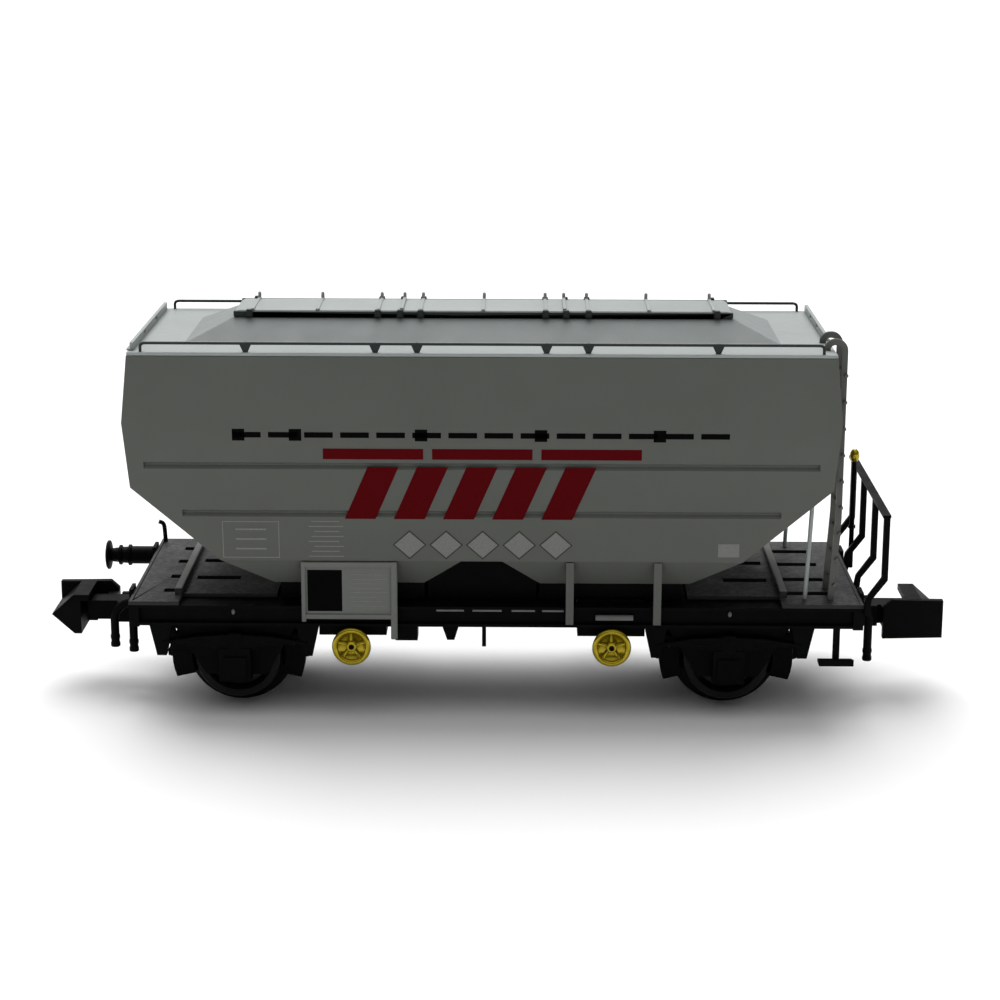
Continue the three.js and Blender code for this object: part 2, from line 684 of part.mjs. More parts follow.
// ---------------------------------------------------------------- wheelsets

// One wheel for the back side, turned about Y.
function makeWheel() {
  const bore = AXLE_RADIUS + 0.01;
  const web = WHEEL_FACE - 0.45;
  return turned([
    [bore, WHEEL_BACK],
    [FLANGE_RADIUS - 0.15, WHEEL_BACK],
    [FLANGE_RADIUS, WHEEL_BACK + 0.25],
    [FLANGE_RADIUS - 0.1, WHEEL_BACK + 0.5],
    [TREAD_RADIUS, WHEEL_BACK + 0.7],
    [TREAD_RADIUS - 0.06, WHEEL_FACE],
    [TREAD_RADIUS - 0.6, WHEEL_FACE],
    [TREAD_RADIUS - 0.8, web],
    [1.1, web],
    [1.0, WHEEL_FACE],
    [bore, WHEEL_FACE],
    [bore, WHEEL_BACK],
  ], 26);
}

function makeAxle() {
  const cone = 6.4;
  return turned([
    [0, -AXLE_LENGTH / 2],
    [AXLE_RADIUS, -cone],
    [AXLE_RADIUS, cone],
    [0, AXLE_LENGTH / 2],
  ], 16);
}

// ---------------------------------------------------------------- couplings
// Drawn for the platform end, with x = 0 at the headstock face and z = 0 at the coupling height.

// Drawbar that swings on the underframe's pivot pin and ends in a fork.
function makeCouplerArm() {
  const bar = block([-COUPLER_PIVOT - 0.9, 0.4], [-0.9, 0.9], [-0.5, 0.5]);
  const peg = rod([-COUPLER_PIVOT + 0.9, 0, 0.3], [-COUPLER_PIVOT + 0.9, 0, 0.95], 0.42);
  const cheeks = [-1, 1].map((out) => block(
    [0.2, 2.0],
    span(out * 0.95, out * 1.4),
    [-0.75, 0.75],
  ));
  const bridge = block([0.1, 0.45], [-1.4, 1.4], [-0.75, 0.75]);
  const pin = rod([HEAD_PIN.x, -1.2, 0], [HEAD_PIN.x, 1.2, 0], HEAD_PIN.radius, 12);
  const pivotHole = rod([-COUPLER_PIVOT, 0, -1], [-COUPLER_PIVOT, 0, 1], 0.4 + RUNNING_GAP, 16);
  return cut(join(bar, peg, ...cheeks, bridge, pin), pivotHole);
}

// Hooked head: a long closed cheek on the front side and a wedge-shaped crosspiece.
function makeCouplerHead() {
  const half = 1.45;
  const tip = COUPLER_REACH;
  const cheek = sideProfile([
    [2.3, 0.9],
    [2.3, -half],
    [tip - 0.05, -half + 0.1],
    [tip - 0.05, half - 0.05],
    [2.9, half],
  ], [-2.2, -1.65]);
  const crosspiece = sideProfile([
    [3.9, -half],
    [5.0, -half],
    [tip, 0],
    [5.0, half],
    [3.9, half],
  ], [-1.9, 2.0]);
  const throat = block([3.6, 4.5], [-1.2, 2.5], [-half - 1, half - 0.45]);
  const shank = block([HEAD_PIN.x - 0.5, 4.2], [-0.85, 0.85], [-0.7, 0.7]);
  const web = block([2.3, 3.0], [-1.9, 0.85], [-0.7, 0.7]);
  const eye = rod([HEAD_PIN.x, -2, 0], [HEAD_PIN.x, 2, 0], HEAD_PIN.radius + RUNNING_GAP, 16);
  return cut(join(cheek, cut(crosspiece, throat), shank, web), eye);
}

// Flat return spring between the pivot pin and the headstock.
function makeCouplerSpring() {
  const wire = 0.1;
  const level = FRAME_BOTTOM - COUPLER_Z - wire - 0.01;
  return bentWire([
    [-COUPLER_PIVOT - 0.2, -1.15, level],
    [-COUPLER_PIVOT + 1.5, -0.7, level],
    [-COUPLER_PIVOT + 1.5, 0.7, level],
    [-COUPLER_PIVOT - 0.2, 1.15, level],
  ], wire, 6);
}

// ---------------------------------------------------------------- end fittings
function makePlatformRailing() {
  const headstock = PLATFORM_HEADSTOCK_X;
  const x = headstock + 1.3;
  const top = 14.3;
  const rail = block([x - 0.35, x + 0.2], [-8.85, 8.85], [top - 0.2, top]);
  const posts = [-8.35, -2.9, 2.9, 8.35].map((y) => sideProfile([
    [headstock, 7.1],
    [headstock + 0.35, 7.1],
    [headstock + 0.45, 8.2],
    [x + 0.2, 9.6],
    [x + 0.2, top],
    [x - 0.22, top],
    [x - 0.22, 9.75],
    [headstock + 0.1, 8.35],
    [headstock, 7.8],
  ], [y - 0.2, y + 0.2]));
  const feet = SIDES.map(({ out }) => {
    const width = span(out * 7.9, out * 8.5);
    return block([headstock, headstock + 0.35], width, [7.05, 7.4]);
  });
  return join(rail, ...feet, ...posts);
}

function makeBrakeColumn() {
  const headstock = PLATFORM_HEADSTOCK_X;
  const [x, y] = [headstock + 0.6, 3.5];
  const column = rod([x, y, 7.2], [x, y, 15.3], 0.2, 10);
  const bracket = block([headstock, x], [y - 0.2, y + 0.2], [7.1, 7.4]);
  const knob = new THREE.SphereGeometry(0.36, 12, 8).scale(1, 1, 1.45).translate(x, y, 15.55);
  return join(column, bracket, knob);
}

function makeBuffer() {
  return turned([
    [0, 0],
    [BUFFER.spigot, 0],
    [BUFFER.spigot, 0.25],
    [0.66, 0.25],
    [0.66, 1.9],
    [0.78, 1.95],
    [0.78, 2.15],
    [0.6, 2.2],
    [0.6, 2.6],
    [0.74, 2.65],
    [0.74, 2.85],
    [0.5, 2.9],
    [0.5, 3.45],
    [1.08, 3.5],
    [1.08, 3.7],
    [0.8, 3.8],
    [0, 3.85],
  ], 16).rotateZ(Math.PI / 2);
}

function makeLampIron() {
  return bentWire([[0, 0, DECK_TOP], [-0.1, 0, DECK_TOP + 1.45], [-0.5, 0, DECK_TOP + 1.55]], 0.17);
}

// Hoses that come out of the headstock at x = 0 and hang down, one for each reach. Each lies
// against the last, a little lower and further over.
function makeBrakeHoses(hoses) {
  const radius = 0.32;
  return join(...hoses.map(({ reach, bottom }, i) => {
    const y = 0.28 * i;
    const level = 6.3 - 0.1 * i;
    return bentWire([
      [0, y, level],
      [reach * 0.55, y, level],
      [reach, y, level - 0.8],
      [reach, y, bottom],
    ], radius);
  }));
}

// ---------------------------------------------------------------- the wagon
addPiece('body_shell', makeBodyShell(), 'bodyGrey');
addPiece('hopper_bottom', makeHopperBottom(), 'bodyGrey');
addPiece('roof', makeRoof(), 'roofGrey');
addPiece('hatch_cover', makeHatchCover(), 'roofGrey');
const weightFoot = SLOPE_FOOT.z + PLUG_HEIGHT;
addPiece('ballast_weight', block([-13, 13], [-6.5, 6.5], [weightFoot, weightFoot + 2.5]), 'steel');
addPiece('end_ladder', makeEndLadder(), 'roofGrey');
addPiece('roof_end_board_plain', makeRoofEndBoard([-8.0, 8.0]), 'roofGrey', { x: -23.6 });
addPiece('roof_end_board_platform', makeRoofEndBoard([-8.0, 3.4]), 'roofGrey', {
  x: 23.6,
  halfTurn: true,
});

for (const side of SIDES) {
  const halfTurn = side.name === 'back';
  addPiece(`hatch_seal_${side.name}`, makeHatchSeal(), 'sealGrey', { halfTurn });
  addPiece(`roof_rail_${side.name}`, makeRoofRail(), 'sealGrey', { halfTurn });
  addPiece(`sign_panel_${side.name}`, makeSignPanel(), 'roofGrey', { halfTurn });
  for (const [place, x] of [['inner', 6.07], ['outer', 12.1]]) {
    const position = { x: -side.out * x, halfTurn };
    addPiece(`stanchion_${side.name}_${place}`, makeStanchion(), 'roofGrey', position);
  }
  addPiece(`stay_post_${side.name}`, makeStayPost(), 'roofGrey', { y: side.out * 6.7 });
  const screwHole = { y: side.out * SCREW_Y, z: FRAME_BOTTOM };
  addPiece(`chassis_screw_${side.name}`, makeChassisScrew(), 'steel', screwHole);
  addPiece(`footstep_${side.name}`, makeFootstep(), 'frameBlack', { x: 24.58, halfTurn });
}

addPiece('underframe', makeUnderframe(), 'frameBlack');
for (const end of ENDS) {
  const total = Math.abs(end.headstock) - DECK_INNER_END;
  const deck = makeEndDeck(DECK_LENGTH[end.name], total);
  addPiece(`end_deck_${end.name}`, deck, 'deckGrey', { x: end.headstock, halfTurn: end.out < 0 });
}

for (const end of ENDS) {
  const axleX = end.out * AXLE_X;
  addPiece(`axle_${end.name}`, makeAxle(), 'steel', { x: axleX, z: TREAD_RADIUS });
  for (const [place, halfTurn] of [['outer', end.out < 0], ['inner', end.out > 0]]) {
    const name = `brake_rigging_${end.name}_${place}`;
    addPiece(name, makeBrakeRigging(), 'frameBlack', { x: axleX, halfTurn });
  }
  addPiece(`discharge_gate_${end.name}`, makeDischargeGate(), 'frameBlack', { x: end.out * GATE_X });
  const atHeadstock = { x: end.headstock, z: COUPLER_Z, halfTurn: end.out < 0 };
  addPiece(`coupler_arm_${end.name}`, makeCouplerArm(), 'frameBlack', atHeadstock);
  addPiece(`coupler_head_${end.name}`, makeCouplerHead(), 'frameBlack', atHeadstock);
  addPiece(`coupler_spring_${end.name}`, makeCouplerSpring(), 'steel', atHeadstock);
  for (const side of SIDES) {
    const halfTurn = side.name === 'back';
    const key = `${end.name}_${side.name}`;
    const wheelPlace = { x: axleX, z: TREAD_RADIUS, halfTurn: !halfTurn };
    addPiece(`wheel_${key}`, makeWheel(), 'wheelBlack', wheelPlace);
    addPiece(`axle_guard_${key}`, makeAxleGuard(), 'frameBlack', { x: axleX, halfTurn });
    const handwheelPlace = { x: end.out * GATE_X, z: HANDWHEEL_Z, halfTurn };
    addPiece(`handwheel_${key}`, makeHandwheel(), 'yellow', handwheelPlace);
  }
}

addPiece('platform_railing', makePlatformRailing(), 'frameBlack');
addPiece('brake_column', makeBrakeColumn(), 'frameBlack');
const bufferPlace = { x: PLAIN_HEADSTOCK_X, y: BUFFER.y, z: BUFFER.z };
addPiece('buffer_plain_back', makeBuffer(), 'frameBlack', bufferPlace);
addPiece('lamp_iron', makeLampIron(), 'frameBlack', { x: PLAIN_HEADSTOCK_X + 0.35, y: 7.4 });
for (const end of ENDS) {
  addPiece(`brake_hose_${end.name}`, makeBrakeHoses(HOSES[end.name]), 'frameBlack', {
    x: end.headstock,
    y: -3.0,
    halfTurn: end.out < 0,
  });
}

export default wagon;
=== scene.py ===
import json
import math

import bmesh
import bpy
from mathutils import Matrix, Vector


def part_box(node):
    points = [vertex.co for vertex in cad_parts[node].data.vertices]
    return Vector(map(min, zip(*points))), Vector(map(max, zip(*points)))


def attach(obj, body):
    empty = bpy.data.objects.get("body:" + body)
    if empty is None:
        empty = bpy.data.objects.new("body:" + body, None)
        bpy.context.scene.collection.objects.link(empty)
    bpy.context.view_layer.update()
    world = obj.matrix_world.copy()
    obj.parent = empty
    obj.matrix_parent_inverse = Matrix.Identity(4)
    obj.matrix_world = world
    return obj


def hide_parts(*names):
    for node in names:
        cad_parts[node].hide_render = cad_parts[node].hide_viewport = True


# A two-axle hopper wagon for 9 mm gauge. +X is the platform end, -Y the front side, +Z up.
MM = 0.001
ENDS = {"plain": -1, "platform": 1}
SIDES = {"front": -1, "back": 1}

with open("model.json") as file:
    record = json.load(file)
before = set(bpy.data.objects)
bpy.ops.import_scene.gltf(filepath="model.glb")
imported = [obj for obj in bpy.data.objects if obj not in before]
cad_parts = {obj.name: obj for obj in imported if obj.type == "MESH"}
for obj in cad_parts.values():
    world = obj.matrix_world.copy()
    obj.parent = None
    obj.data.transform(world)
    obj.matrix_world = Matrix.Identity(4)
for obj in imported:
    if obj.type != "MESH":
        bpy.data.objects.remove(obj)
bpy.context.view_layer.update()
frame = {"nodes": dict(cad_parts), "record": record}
body_of_node = {
    node: body
    for body, nodes in frame["record"]["behaviour"]["bodies"].items()
    for node in nodes
}
slot_of_node = {entry["node"]: entry["material_slot"] for entry in frame["record"]["subparts"]}


# ------------------------------------------------------------------ materials
class Nodes:
    """Short calls for the node tree of one material."""

    def __init__(self, name):
        self.material = bpy.data.materials.new(name)
        self.material.use_nodes = True
        self.tree = self.material.node_tree
        self.shader = self.tree.nodes["Principled BSDF"]
        self.place = self.add("ShaderNodeTexCoord").outputs["Object"]

    def add(self, kind, **settings):
        node = self.tree.nodes.new(kind)
        for key, value in settings.items():
            setattr(node, key, value)
        return node

    def link(self, source, target):
        self.tree.links.new(source, target)

    def noise(self, size, detail=4.0, stretch=(1.0, 1.0, 1.0)):
        """Noise whose blotches are about size metres across, drawn out along an axis by stretch."""
        mapping = self.add("ShaderNodeMapping")
        mapping.inputs["Scale"].default_value = [1.0 / s for s in stretch]
        self.link(self.place, mapping.inputs["Vector"])
        noise = self.add("ShaderNodeTexNoise")
        noise.inputs["Scale"].default_value = 1.0 / size
        noise.inputs["Detail"].default_value = detail
        self.link(mapping.outputs["Vector"], noise.inputs["Vector"])
        return noise.outputs["Fac"]

    def span(self, value, low, high, from_low=0.3, from_high=0.7):
        node = self.add("ShaderNodeMapRange")
        node.inputs["From Min"].default_value = from_low
        node.inputs["From Max"].default_value = from_high
        node.inputs["To Min"].default_value = low
        node.inputs["To Max"].default_value = high
        self.link(value, node.inputs["Value"])
        return node.outputs["Result"]

    def tint(self, colour, factor):
        """The colour made lighter or darker by a factor that varies over the surface."""
        node = self.add("ShaderNodeVectorMath", operation="SCALE")
        node.inputs[0].default_value = colour
        self.link(factor, node.inputs["Scale"])
        return node.outputs["Vector"]

    def mix(self, factor, first, second):
        node = self.add("ShaderNodeMix", data_type="RGBA")
        self.link(factor, node.inputs["Factor"])
        for value, socket in ((first, node.inputs[6]), (second, node.inputs[7])):
            if isinstance(value, tuple):
                socket.default_value = (*value, 1.0)
            else:
                self.link(value, socket)
        return node.outputs[2]

    # Painted shade: ambient occlusion within reach, used to darken colours in corners and crevices.
    def painted_crevice_shade(self, reach):
        node = self.add("ShaderNodeAmbientOcclusion", samples=6)
        node.inputs["Distance"].default_value = reach
        return node.outputs["AO"]

    def facing_up(self):
        normal = self.add("ShaderNodeNewGeometry").outputs["Normal"]
        split = self.add("ShaderNodeSeparateXYZ")
        self.link(normal, split.inputs["Vector"])
        return split.outputs["Z"]

    def bump(self, height, depth, strength=1.0):
        node = self.add("ShaderNodeBump")
        node.inputs["Distance"].default_value = depth
        node.inputs["Strength"].default_value = strength
        self.link(height, node.inputs["Height"])
        self.link(node.outputs["Normal"], self.shader.inputs["Normal"])


def moulding(name, colour, roughness, gloss=0.5, grain=0.004 * MM, mottle=0.05,
             dust=None, dust_share=0.25):
    """Moulded plastic: soft random changes of tone, a fine grain, painted shade darkening its corners
    and crevices, and a little dust on top.
    """
    n = Nodes(name)
    cloud = n.noise(6 * MM, detail=5.0)
    base = n.tint(colour, n.span(cloud, 1.0 - mottle, 1.0 + mottle))
    # Painted shade: ambient occlusion darkens the base colour to as little as 0.55 in corners and
    # crevices.
    shade = n.span(n.painted_crevice_shade(0.5 * MM), 0.55, 1.0, 0.0, 1.0)
    corner = n.tint((1.0, 1.0, 1.0), shade)
    darker = n.add("ShaderNodeVectorMath", operation="MULTIPLY")
    n.link(base, darker.inputs[0])
    n.link(corner, darker.inputs[1])
    surface = darker.outputs["Vector"]
    if dust:
        speck = n.span(n.noise(0.35 * MM, detail=8.0), 0.0, dust_share, 0.42, 0.75)
        level = n.span(n.facing_up(), 0.0, 1.0, 0.2, 1.0)
        share = n.add("ShaderNodeMath", operation="MULTIPLY")
        n.link(speck, share.inputs[0])
        n.link(level, share.inputs[1])
        surface = n.mix(share.outputs["Value"], surface, dust)
    n.link(surface, n.shader.inputs["Base Color"])
    sheen = n.noise(1.6 * MM, detail=3.0)
    n.link(n.span(sheen, roughness - 0.05, roughness + 0.08), n.shader.inputs["Roughness"])
    n.shader.inputs["Specular IOR Level"].default_value = gloss
    n.bump(n.noise(0.12 * MM, detail=6.0), grain)
    return n.material


def metal(name, colour, roughness, brushed=(1.0, 12.0, 1.0), tarnish=0.35):
    """Bare metal with fine drawn lines along one axis and a dull cloud of tarnish."""
    n = Nodes(name)
    cloud = n.noise(1.5 * MM)
    n.link(n.tint(colour, n.span(cloud, 1.0 - tarnish, 1.0)), n.shader.inputs["Base Color"])
    n.link(n.span(cloud, roughness - 0.06, roughness + 0.12), n.shader.inputs["Roughness"])
    n.shader.inputs["Metallic"].default_value = 1.0
    n.bump(n.noise(0.05 * MM, stretch=brushed), 0.004 * MM)
    return n.material


def turned_metal(name, colour, roughness):
    """Blackened metal with the fine rings of a lathe about the Y axis of the piece."""
    n = Nodes(name)
    split = n.add("ShaderNodeSeparateXYZ")
    n.link(n.place, split.inputs["Vector"])
    flat = n.add("ShaderNodeCombineXYZ")
    n.link(split.outputs["X"], flat.inputs["X"])
    n.link(split.outputs["Z"], flat.inputs["Y"])
    radius = n.add("ShaderNodeVectorMath", operation="LENGTH")
    n.link(flat.outputs["Vector"], radius.inputs[0])
    rings = n.add("ShaderNodeTexNoise", noise_dimensions="1D")
    rings.inputs["Scale"].default_value = 1.0 / (0.05 * MM)
    n.link(radius.outputs["Value"], rings.inputs["W"])
    cloud = n.noise(1.2 * MM)
    n.link(n.tint(colour, n.span(cloud, 0.75, 1.2)), n.shader.inputs["Base Color"])
    n.link(n.span(cloud, roughness - 0.07, roughness + 0.1), n.shader.inputs["Roughness"])
    n.shader.inputs["Metallic"].default_value = 0.85
    n.bump(rings.outputs["Fac"], 0.006 * MM)
    return n.material


def gloss_paint(name, colour, roughness):
    """Glossy metallic paint with a slightly uneven coat and painted shade darkening its crevices."""
    n = Nodes(name)
    cloud = n.noise(0.6 * MM)
    # Painted shade: ambient occlusion darkens the coat to as little as 0.5 in crevices.
    shade = n.span(n.painted_crevice_shade(0.3 * MM), 0.5, 1.0, 0.0, 1.0)
    base = n.tint(colour, n.span(cloud, 0.88, 1.08))
    shaded_coat = n.add("ShaderNodeVectorMath", operation="MULTIPLY")
    n.link(base, shaded_coat.inputs[0])
    n.link(n.tint((1.0, 1.0, 1.0), shade), shaded_coat.inputs[1])
    n.link(shaded_coat.outputs["Vector"], n.shader.inputs["Base Color"])
    n.link(n.span(cloud, roughness, roughness + 0.1), n.shader.inputs["Roughness"])
    n.shader.inputs["Metallic"].default_value = 0.75
    n.bump(n.noise(0.3 * MM), 0.01 * MM)
    return n.material


def ink(name, colour, roughness=0.42):
    """Pad-printed ink: even, with tiny thin spots."""
    n = Nodes(name)
    thin = n.span(n.noise(0.08 * MM, detail=3.0), 0.85, 1.1)
    n.link(n.tint(colour, thin), n.shader.inputs["Base Color"])
    n.link(n.span(n.noise(0.5 * MM), roughness - 0.04, roughness + 0.06), n.shader.inputs["Roughness"])
    n.shader.inputs["Specular IOR Level"].default_value = 0.02
    n.bump(n.noise(0.1 * MM), 0.003 * MM)
    return n.material


DUST = (0.30, 0.31, 0.29)
MATERIALS = {
    # Painted shade: body_plastic is kept at about a third of the roof grey, though body and roof are
    # most likely one grey plastic; the darker grey stands in for the shade on the sides.
    "body_plastic": moulding("body_plastic", (0.088, 0.093, 0.083), 0.5, mottle=0.035, gloss=0.25),
    "roof_plastic": moulding("roof_plastic", (0.268, 0.296, 0.288), 0.45, mottle=0.03),
    # Painted shade: a darker copy of the roof grey for the sloping coaming faces.
    "coaming_slope_shade": moulding("coaming_slope_shade", (0.190, 0.212, 0.208), 0.5, mottle=0.03, gloss=0.3),
    "panel_plastic": moulding("panel_plastic", (0.132, 0.139, 0.128), 0.5, mottle=0.04, gloss=0.25),
    "seal_plastic": moulding(
        "seal_plastic", (0.020, 0.025, 0.024), 0.5, dust=DUST, dust_share=0.1, gloss=0.2,
    ),
    "frame_plastic": moulding(
        "frame_plastic", (0.0010, 0.0014, 0.0013), 0.5, dust=DUST, dust_share=0.012, gloss=0.04,
    ),
    "deck_plastic": moulding(
        "deck_plastic", (0.019, 0.022, 0.021), 0.55, dust=DUST, dust_share=0.16, gloss=0.15,
    ),
    "wheel_metal": turned_metal("wheel_metal", (0.006, 0.006, 0.0065), 0.4),
    "bare_steel": metal("bare_steel", (0.55, 0.55, 0.54), 0.3),
    "yellow_paint": gloss_paint("yellow_paint", (0.35, 0.265, 0.010), 0.16),
    "ink_black": ink("ink_black", (0.001, 0.0012, 0.001)),
    "ink_red": ink("ink_red", (0.080, 0.0015, 0.003)),
    "ink_pale": ink("ink_pale", (0.19, 0.195, 0.185)),
    "ink_grey": ink("ink_grey", (0.045, 0.047, 0.044)),
}


# ------------------------------------------------------------------ mesh helpers
def finish_piece(piece, body, slot, material, *nodes, smooth=30.0):
    """Gives a piece its material and smooth shading, attaches it to its body and hides the CAD nodes it
    stands for; slot is not used.
    """
    piece.data.materials.clear()
    piece.data.materials.append(MATERIALS[material])
    piece.data.shade_smooth()
    piece.data.set_sharp_from_angle(angle=math.radians(smooth))
    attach(piece, body)
    if nodes:
        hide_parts(*nodes)
    return piece


def new_piece(name, mesh, location=(0.0, 0.0, 0.0)):
    data = bpy.data.meshes.new(name)
    bmesh.ops.recalc_face_normals(mesh, faces=mesh.faces)
    mesh.to_mesh(data)
    mesh.free()
    piece = bpy.data.objects.new(name, data)
    piece.location = location
    bpy.context.scene.collection.objects.link(piece)
    return piece


def stand_in(piece, node, material=None):
    slot = slot_of_node[node]
    return finish_piece(piece, body_of_node[node], slot, material or slot, node)


def bevelled(node, width, material=None, segments=2):
    """The CAD node's own shape with its flat faces joined up and its edges rounded."""
    mesh = bmesh.new()
    mesh.from_mesh(frame["nodes"][node].data)
    bmesh.ops.remove_doubles(mesh, verts=mesh.verts, dist=0.0005 * MM)
    bmesh.ops.dissolve_limit(
        mesh, angle_limit=math.radians(0.6), verts=mesh.verts, edges=mesh.edges
    )
    sharp = [e for e in mesh.edges if len(e.link_faces) == 2 and e.calc_face_angle() > math.radians(25)]
    bmesh.ops.bevel(
        mesh, geom=sharp, offset=width, segments=segments, profile=0.5,
        affect="EDGES", clamp_overlap=True,
    )
    bmesh.ops.triangulate(mesh, faces=[f for f in mesh.faces if len(f.verts) > 4])
    piece = stand_in(new_piece(node + "_shape", mesh), node, material)
    piece.modifiers.new("even_normals", "WEIGHTED_NORMAL").keep_sharp = True
    return piece


def lathe(profile, steps=96):
    """A profile of (radius, along) points turned about the Y axis."""
    mesh = bmesh.new()
    points = [mesh.verts.new((radius, along, 0.0)) for radius, along in profile]
    edges = [mesh.edges.new(pair) for pair in zip(points, points[1:])]
    bmesh.ops.spin(
        mesh, geom=points + edges, cent=(0, 0, 0), axis=(0, 1, 0),
        angle=2 * math.pi, steps=steps, use_merge=True,
    )
    bmesh.ops.remove_doubles(mesh, verts=mesh.verts, dist=0.0005 * MM)
    return mesh


def rounded(points, corner):
    """The line through points with each inner corner replaced by a short curve."""
    line = [Vector(p) for p in points]
    path = [line[0]]
    for before, point, after in zip(line, line[1:], line[2:]):
        reach_in = min(corner, (before - point).length / 2.2)
        reach_out = min(corner, (after - point).length / 2.2)
        start = point + (before - point).normalized() * reach_in
        end = point + (after - point).normalized() * reach_out
        for i in range(6):
            t = i / 5
            path.append(start * (1 - t) ** 2 + point * 2 * t * (1 - t) + end * t ** 2)
    path.append(line[-1])
    return path


def tube(mesh, points, radius, corner=0.4 * MM, sides=16, flatten=1.0):
    """Adds a closed round bar along a line of points; flatten squeezes its section."""
    path = rounded(points, corner)
    tangent = (path[1] - path[0]).normalized()
    across = tangent.orthogonal().normalized()
    rings = []
    for i, point in enumerate(path):
        ahead = path[min(i + 1, len(path) - 1)] - path[max(i - 1, 0)]
        turn = tangent.rotation_difference(ahead.normalized())
        tangent = ahead.normalized()
        across = turn @ across
        other = tangent.cross(across)
        rings.append([
            mesh.verts.new(
                point
                + across * radius * math.cos(2 * math.pi * k / sides)
                + other * radius * flatten * math.sin(2 * math.pi * k / sides)
            )
            for k in range(sides)
        ])
    for low, high in zip(rings, rings[1:]):
        for k in range(sides):
            n = (k + 1) % sides
            mesh.faces.new((low[k], low[n], high[n], high[k]))
    mesh.faces.new(list(reversed(rings[0])))
    mesh.faces.new(rings[-1])


def slab(mesh, low, high, bevel=0.04 * MM):
    """Adds a block between two corners with rounded edges."""
    part = bmesh.new()
    bmesh.ops.create_cube(part, size=1.0)
    size = Vector(high) - Vector(low)
    bmesh.ops.scale(part, vec=size, verts=part.verts)
    bmesh.ops.translate(part, vec=Vector(low) + size / 2, verts=part.verts)
    bmesh.ops.bevel(
        part, geom=part.edges[:], offset=bevel, segments=2, affect="EDGES", clamp_overlap=True
    )
    merge(mesh, part)


def merge(mesh, part):
    holder = bpy.data.meshes.new("part")
    part.to_mesh(holder)
    part.free()
    mesh.from_mesh(holder)
    bpy.data.meshes.remove(holder)


def dome(mesh, centre, radius, squash=(1.0, 1.0, 1.0), rings=10, segments=16):
    part = bmesh.new()
    bmesh.ops.create_uvsphere(part, u_segments=segments, v_segments=rings, radius=radius)
    bmesh.ops.scale(part, vec=squash, verts=part.verts)
    bmesh.ops.translate(part, vec=centre, verts=part.verts)
    merge(mesh, part)


# ------------------------------------------------------------------ pieces kept in their CAD shape
EDGE_WIDTHS = {
    "body_shell": 0.10, "hopper_bottom": 0.08, "roof": 0.06, "ballast_weight": 0.15,
    "roof_end_board_plain": 0.04, "roof_end_board_platform": 0.04, "underframe": 0.05,
    "end_deck_plain": 0.03, "end_deck_platform": 0.03, "platform_railing": 0.06,
}
for side in SIDES:
    EDGE_WIDTHS[f"hatch_seal_{side}"] = 0.05
    EDGE_WIDTHS[f"footstep_{side}"] = 0.04
    EDGE_WIDTHS[f"chassis_screw_{side}"] = 0.04
    for end in ENDS:
        EDGE_WIDTHS[f"axle_guard_{end}_{side}"] = 0.05
for end in ENDS:
    EDGE_WIDTHS[f"discharge_gate_{end}"] = 0.08
    EDGE_WIDTHS[f"coupler_arm_{end}"] = 0.06
    EDGE_WIDTHS[f"coupler_head_{end}"] = 0.10
    for place in ("inner", "outer"):
        EDGE_WIDTHS[f"brake_rigging_{end}_{place}"] = 0.05
for node, width in EDGE_WIDTHS.items():
    bevelled(node, width * MM)
for side in SIDES:
    for place in ("inner", "outer"):
        # The stanchions take the darker body grey, painted shade, in place of their slot's material.
        bevelled(f"stanchion_{side}_{place}", 0.05 * MM, material="body_plastic")


def paint_coaming_slope_shade():
    """Painted shade: the sloping faces of the hatch coaming, picked by their normals, get a darker copy
    of the roof grey than the level roof round them.
    """
    piece = bpy.data.objects["roof_shape"]
    piece.data.materials.append(MATERIALS["coaming_slope_shade"])
    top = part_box("roof")[1].z
    slope_depth, level_normal = 1.35 * MM, 0.97
    for face in piece.data.polygons:
        if face.center.z > top - slope_depth and face.normal.z < level_normal:
            face.material_index = 1


paint_coaming_slope_shade()


# ------------------------------------------------------------------ roof hatch
def hatch_cover():
    low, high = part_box("hatch_cover")
    crown = high.z - 0.45 * MM
    seat = low.z
    mid_x = (low.x + high.x) / 2
    half_x = high.x - mid_x
    mesh = bmesh.new()
    section = []
    steps = 10
    edge = high.y
    for i in range(steps + 1):
        angle = math.pi * i / steps
        y = -edge * math.cos(angle) if 0 < i < steps else edge * (-1 if i == 0 else 1)
        bulge = math.sin(angle) ** 0.35 if 0 < i < steps else 0.0
        section.append((y, crown - 0.22 * MM * (1 - bulge)))
    outline = [(-edge, seat)] + section + [(edge, seat)]
    rings = []
    for x, shrink in (
        (mid_x - half_x, 0.8), (mid_x - half_x + 0.25 * MM, 1.0),
        (mid_x + half_x - 0.25 * MM, 1.0), (mid_x + half_x, 0.8),
    ):
        rings.append([mesh.verts.new((x, y, seat + (z - seat) * shrink)) for y, z in outline])
    for first, second in zip(rings, rings[1:]):
        for i in range(len(outline)):
            n = (i + 1) % len(outline)
            mesh.faces.new((first[i], first[n], second[n], second[i]))
    mesh.faces.new(list(reversed(rings[0])))
    mesh.faces.new(rings[-1])
    strap = 0.12 * MM
    raised = 5.65
    half_row = (4.33, raised, 7.27, 11.5, 16.0)
    for distance in (*half_row, 0.0, *[-value for value in half_row]):
        x = mid_x + distance * MM
        rise = 0.12 * MM if abs(distance) == raised else 0.05 * MM
        slab(mesh, (x - strap, -edge, seat + 0.1 * MM), (x + strap, edge, crown + rise), 0.03 * MM)
        lug = edge - 0.15 * MM
        tube(mesh, [(x, lug, seat + 0.2 * MM), (x, lug, high.z - strap)], strap, sides=12)
        dome(mesh, (x, lug, high.z - strap), strap)
    stand_in(new_piece("hatch_cover_shape", mesh), "hatch_cover")


hatch_cover()


